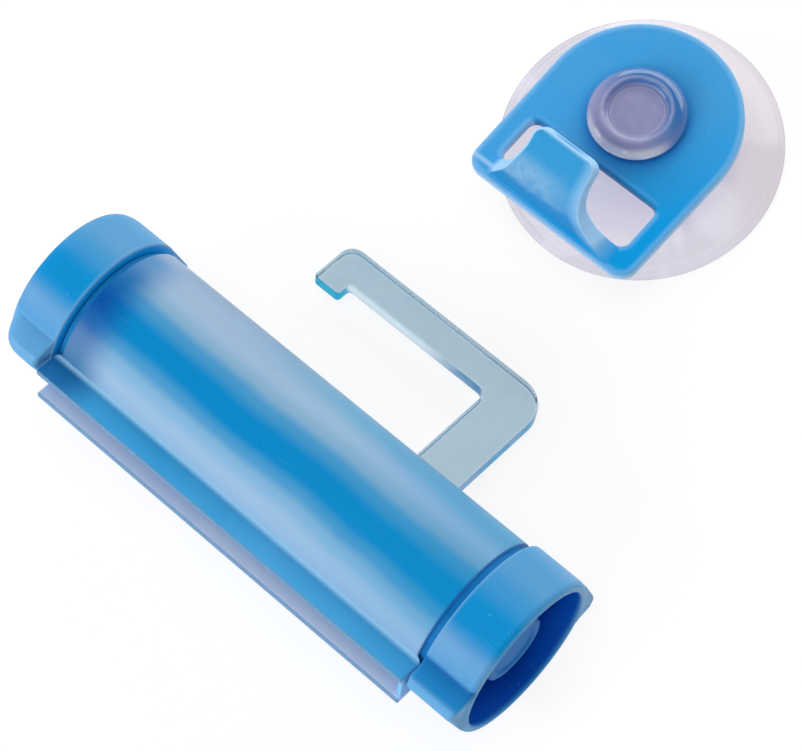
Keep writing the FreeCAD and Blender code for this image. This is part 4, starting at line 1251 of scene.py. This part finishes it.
class WINDER_OT_knobs(bpy.types.Operator):
    """Build both knobs and their caps, and finish the winding roller between them."""

    bl_idname = "winder.knobs"
    bl_label = "Knobs, caps and roller"

    def execute(self, context):
        blue = knob_blue(context.scene.winder_look)
        milky = milky_blue("Milky blue cap", (0.01, 0.15, 0.48), (0.03, 0.20, 0.55))
        pale = milky_blue("Milky blue roller", (0.10, 0.34, 0.62), (0.2, 0.45, 0.72))
        for word, side, corner, depth, length in (
                ("right", 1, RIGHT_FIN_CORNER, RIGHT_FIN_CREASE, KNOB_FACE_ROUND),
                ("left", -1, LEFT_FIN_CORNER, LEFT_FIN_CREASE, LEFT_FACE_LENGTH)):
            knob = knob_piece(word + "_knob_body", side, corner, depth, length)
            settle(knob, blue, "winder", word + "_knob")
            cap = turned_piece(word + "_cap_disc", cap_profile() * np.array([side, 1]), on_axis, "x", 160)
            settle(cap, milky, "winder", word + "_cap")
        wear(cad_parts["winding_roller"], pale)
        return {"FINISHED"}


class WINDER_OT_cup(bpy.types.Operator):
    """Build the clear suction cup and its milky head."""

    bl_idname = "winder.cup"
    bl_label = "Suction cup"

    def execute(self, context):
        look = context.scene.winder_look
        skirt = turned_piece("suction_skirt", skirt_profile(), on_hanger, "z", 256)
        settle(skirt, clear_lilac(look), "cup", "suction_cup")
        head = turned_piece("suction_head", head_profile(), on_hanger, "z", 200)
        settle(head, milky_lilac(look), "cup", "suction_cup")
        return {"FINISHED"}


class WINDER_OT_plate(bpy.types.Operator):
    """Build the hanger plate and its curled tongue."""

    bl_idname = "winder.plate"
    bl_label = "Hanger plate"

    def execute(self, context):
        blue = plate_blue(context.scene.winder_look)
        window, hole = hanger_holes()
        plate = plate_piece("hanger_plate_body", [hanger_outline(), window, hole], PLATE_BOTTOM,
                            PLATE_BOTTOM + PLATE_THICKNESS, [PLATE_EDGE_ROUND, 0.5, 0.2], on_hanger,
                            glow=0.8)
        tongue = tongue_piece("hanger_tongue", on_hanger)
        for piece in (plate, tongue):
            settle(piece, blue, "plate", "hanger_plate")
        return {"FINISHED"}


# Studio.

def most_of(tree, outputs):
    """The greatest of several outputs."""
    value = outputs[0]
    for other in outputs[1:]:
        node = add_node(tree, "ShaderNodeMath", -300, 300, operation="MAXIMUM")
        tree.links.new(value, node.inputs[0])
        tree.links.new(other, node.inputs[1])
        value = node.outputs["Value"]
    return value


def floor_material():
    """White ground: plain white to light, and to the eye and in reflections a glow that grows from near
    white to white away from the object, with the object's shadow."""
    material = bpy.data.materials.new("White ground")
    material.use_nodes = True
    tree = material.node_tree
    tree.nodes.clear()
    link = tree.links.new
    out = add_node(tree, "ShaderNodeOutputMaterial", 600, 0)
    path = add_node(tree, "ShaderNodeLightPath", -600, 200).outputs
    seen = most_of(tree, [path["Is Camera Ray"], path["Is Transmission Ray"], path["Is Glossy Ray"]])
    paper = add_node(tree, "ShaderNodeBsdfDiffuse", 0, -50)
    paper.inputs["Color"].default_value = (0.8, 0.8, 0.8, 1)
    shade = add_node(tree, "ShaderNodeBsdfDiffuse", -150, -200)
    shade.inputs["Color"].default_value = (0.20, 0.20, 0.203, 1)
    glow = add_node(tree, "ShaderNodeEmission", -150, -350)
    spot = add_node(tree, "ShaderNodeTexCoord", -900, -400)
    away = add_node(tree, "ShaderNodeVectorMath", -700, -400, operation="LENGTH")
    link(spot.outputs["Object"], away.inputs[0])
    level = add_node(tree, "ShaderNodeMapRange", -450, -400)
    fill(level, From_Min=0.35, From_Max=1.2, To_Min=0.83, To_Max=1.0)
    link(away.outputs["Value"], level.inputs["Value"])
    link(level.outputs["Result"], glow.inputs["Strength"])
    both = add_node(tree, "ShaderNodeAddShader", 50, -250)
    link(shade.outputs[0], both.inputs[0])
    link(glow.outputs[0], both.inputs[1])
    mix = add_node(tree, "ShaderNodeMixShader", 300, 0)
    link(seen, mix.inputs[0])
    link(paper.outputs[0], mix.inputs[1])
    link(both.outputs[0], mix.inputs[2])
    link(mix.outputs[0], out.inputs["Surface"])
    return material


def soft_box(name, place, target, width, height, radiance):
    """A rectangular lamp that faces the target; its power gives the asked radiance over its whole face."""
    data = bpy.data.lights.new(name, "AREA")
    data.shape = "RECTANGLE"
    data.size = width
    data.size_y = height
    data.energy = radiance * math.pi * width * height
    lamp = bpy.data.objects.new(name, data)
    bpy.context.scene.collection.objects.link(lamp)
    lamp.location = place
    lamp.rotation_mode = "QUATERNION"
    lamp.rotation_quaternion = (Vector(target) - Vector(place)).to_track_quat("-Z", "Y")
    return lamp


def studio_world():
    """White surround: bright near the horizon and dim overhead, where the camera looks in; seen as white."""
    world = bpy.data.worlds.new("White surround")
    bpy.context.scene.world = world
    world.use_nodes = True
    tree = world.node_tree
    tree.nodes.clear()
    link = tree.links.new
    out = add_node(tree, "ShaderNodeOutputWorld", 600, 0)
    back = add_node(tree, "ShaderNodeBackground", 400, 0)
    spot = add_node(tree, "ShaderNodeTexCoord", -900, 0)
    split = add_node(tree, "ShaderNodeSeparateXYZ", -700, 0)
    link(spot.outputs["Generated"], split.inputs[0])
    fade = add_node(tree, "ShaderNodeMapRange", -450, 0)
    fill(fade, From_Min=0.1, From_Max=0.8, To_Min=0.75, To_Max=0.08)
    link(split.outputs["Z"], fade.inputs["Value"])
    path = add_node(tree, "ShaderNodeLightPath", -450, 300).outputs
    level = add_node(tree, "ShaderNodeMix", 100, 100, data_type="FLOAT")
    link(most_of(tree, [path["Is Camera Ray"], path["Is Transmission Ray"]]), level.inputs[0])
    link(fade.outputs["Result"], level.inputs[2])
    level.inputs[3].default_value = 1.0
    link(level.outputs[0], back.inputs["Strength"])
    back.inputs["Color"].default_value = (1, 1, 1, 1)
    link(back.outputs[0], out.inputs["Surface"])


class WINDER_OT_stage(bpy.types.Operator):
    """Set up the white ground and surround, three soft boxes and the camera."""

    bl_idname = "winder.stage"
    bl_label = "Studio"

    def execute(self, context):
        half = context.scene.winder_look.floor_size / 2
        corners = [(-half, -half, 0), (half, -half, 0), (half, half, 0), (-half, half, 0)]
        mesh = bpy.data.meshes.new("ground")
        mesh.from_pydata(corners, [], [(0, 1, 2, 3)])
        ground = bpy.data.objects.new("ground", mesh)
        context.scene.collection.objects.link(ground)
        wear(ground, floor_material())
        studio_world()
        context.scene.view_settings.view_transform = "Standard"
        centre = (0.0, -0.02, 0.015)
        soft_box("Soft box behind", (-0.30, 0.95, 0.42), centre, 1.5, 0.62, 3.4)
        soft_box("Soft box in front", (-0.30, -0.98, 0.50), centre, 1.5, 0.66, 3.4)
        fill_light = soft_box("Soft box above", (0.0, -0.1, 1.2), centre, 0.8, 0.8, 2.5)
        fill_light.visible_glossy = False
        fill_light.visible_transmission = False
        data = bpy.data.cameras.new("Camera")
        data.sensor_fit = "HORIZONTAL"
        data.sensor_width = SENSOR_WIDTH
        data.lens = SENSOR_WIDTH * FOCAL_PIXELS / PICTURE_WIDTH_PIXELS
        data.clip_start = 0.02
        data.clip_end = 50.0
        camera = bpy.data.objects.new("Camera", data)
        context.scene.collection.objects.link(camera)
        place = Matrix((CAMERA_RIGHT, CAMERA_UP, CAMERA_BACK)).transposed().to_4x4()
        place.translation = Vector(CAMERA_PLACE) * MM
        camera.matrix_world = place
        context.scene.camera = camera
        return {"FINISHED"}


PIECE_OPERATORS = (WINDER_OT_casing, WINDER_OT_hook, WINDER_OT_knobs, WINDER_OT_cup, WINDER_OT_plate,
                   WINDER_OT_stage)


class WINDER_PT_panel(bpy.types.Panel):
    """Lists the settings and the operators in the 3D view's sidebar."""

    bl_idname = "WINDER_PT_panel"
    bl_label = "Tube winder"
    bl_space_type = "VIEW_3D"
    bl_region_type = "UI"
    bl_category = "Winder"

    def draw(self, context):
        look = context.scene.winder_look
        for name in ("casing_blue", "casing_highlight", "knob_blue", "hook_face", "hook_edge_light", "cup_lilac",
                     "head_lilac", "plate_blue", "edge_round", "floor_size"):
            self.layout.prop(look, name)
        for operator in PIECE_OPERATORS:
            self.layout.operator(operator.bl_idname)


CLASSES = (WinderLook, *PIECE_OPERATORS, WINDER_PT_panel)


def register():
    for item in CLASSES:
        bpy.utils.register_class(item)
    bpy.types.Scene.winder_look = PointerProperty(type=WinderLook)


def unregister():
    del bpy.types.Scene.winder_look
    for item in reversed(CLASSES):
        bpy.utils.unregister_class(item)


def main():
    """Registers the add-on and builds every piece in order."""
    register()
    bpy.ops.winder.casing()
    bpy.ops.winder.hook()
    bpy.ops.winder.knobs()
    bpy.ops.winder.cup()
    bpy.ops.winder.plate()
    bpy.ops.winder.stage()


if __name__ == "__main__":
    main()
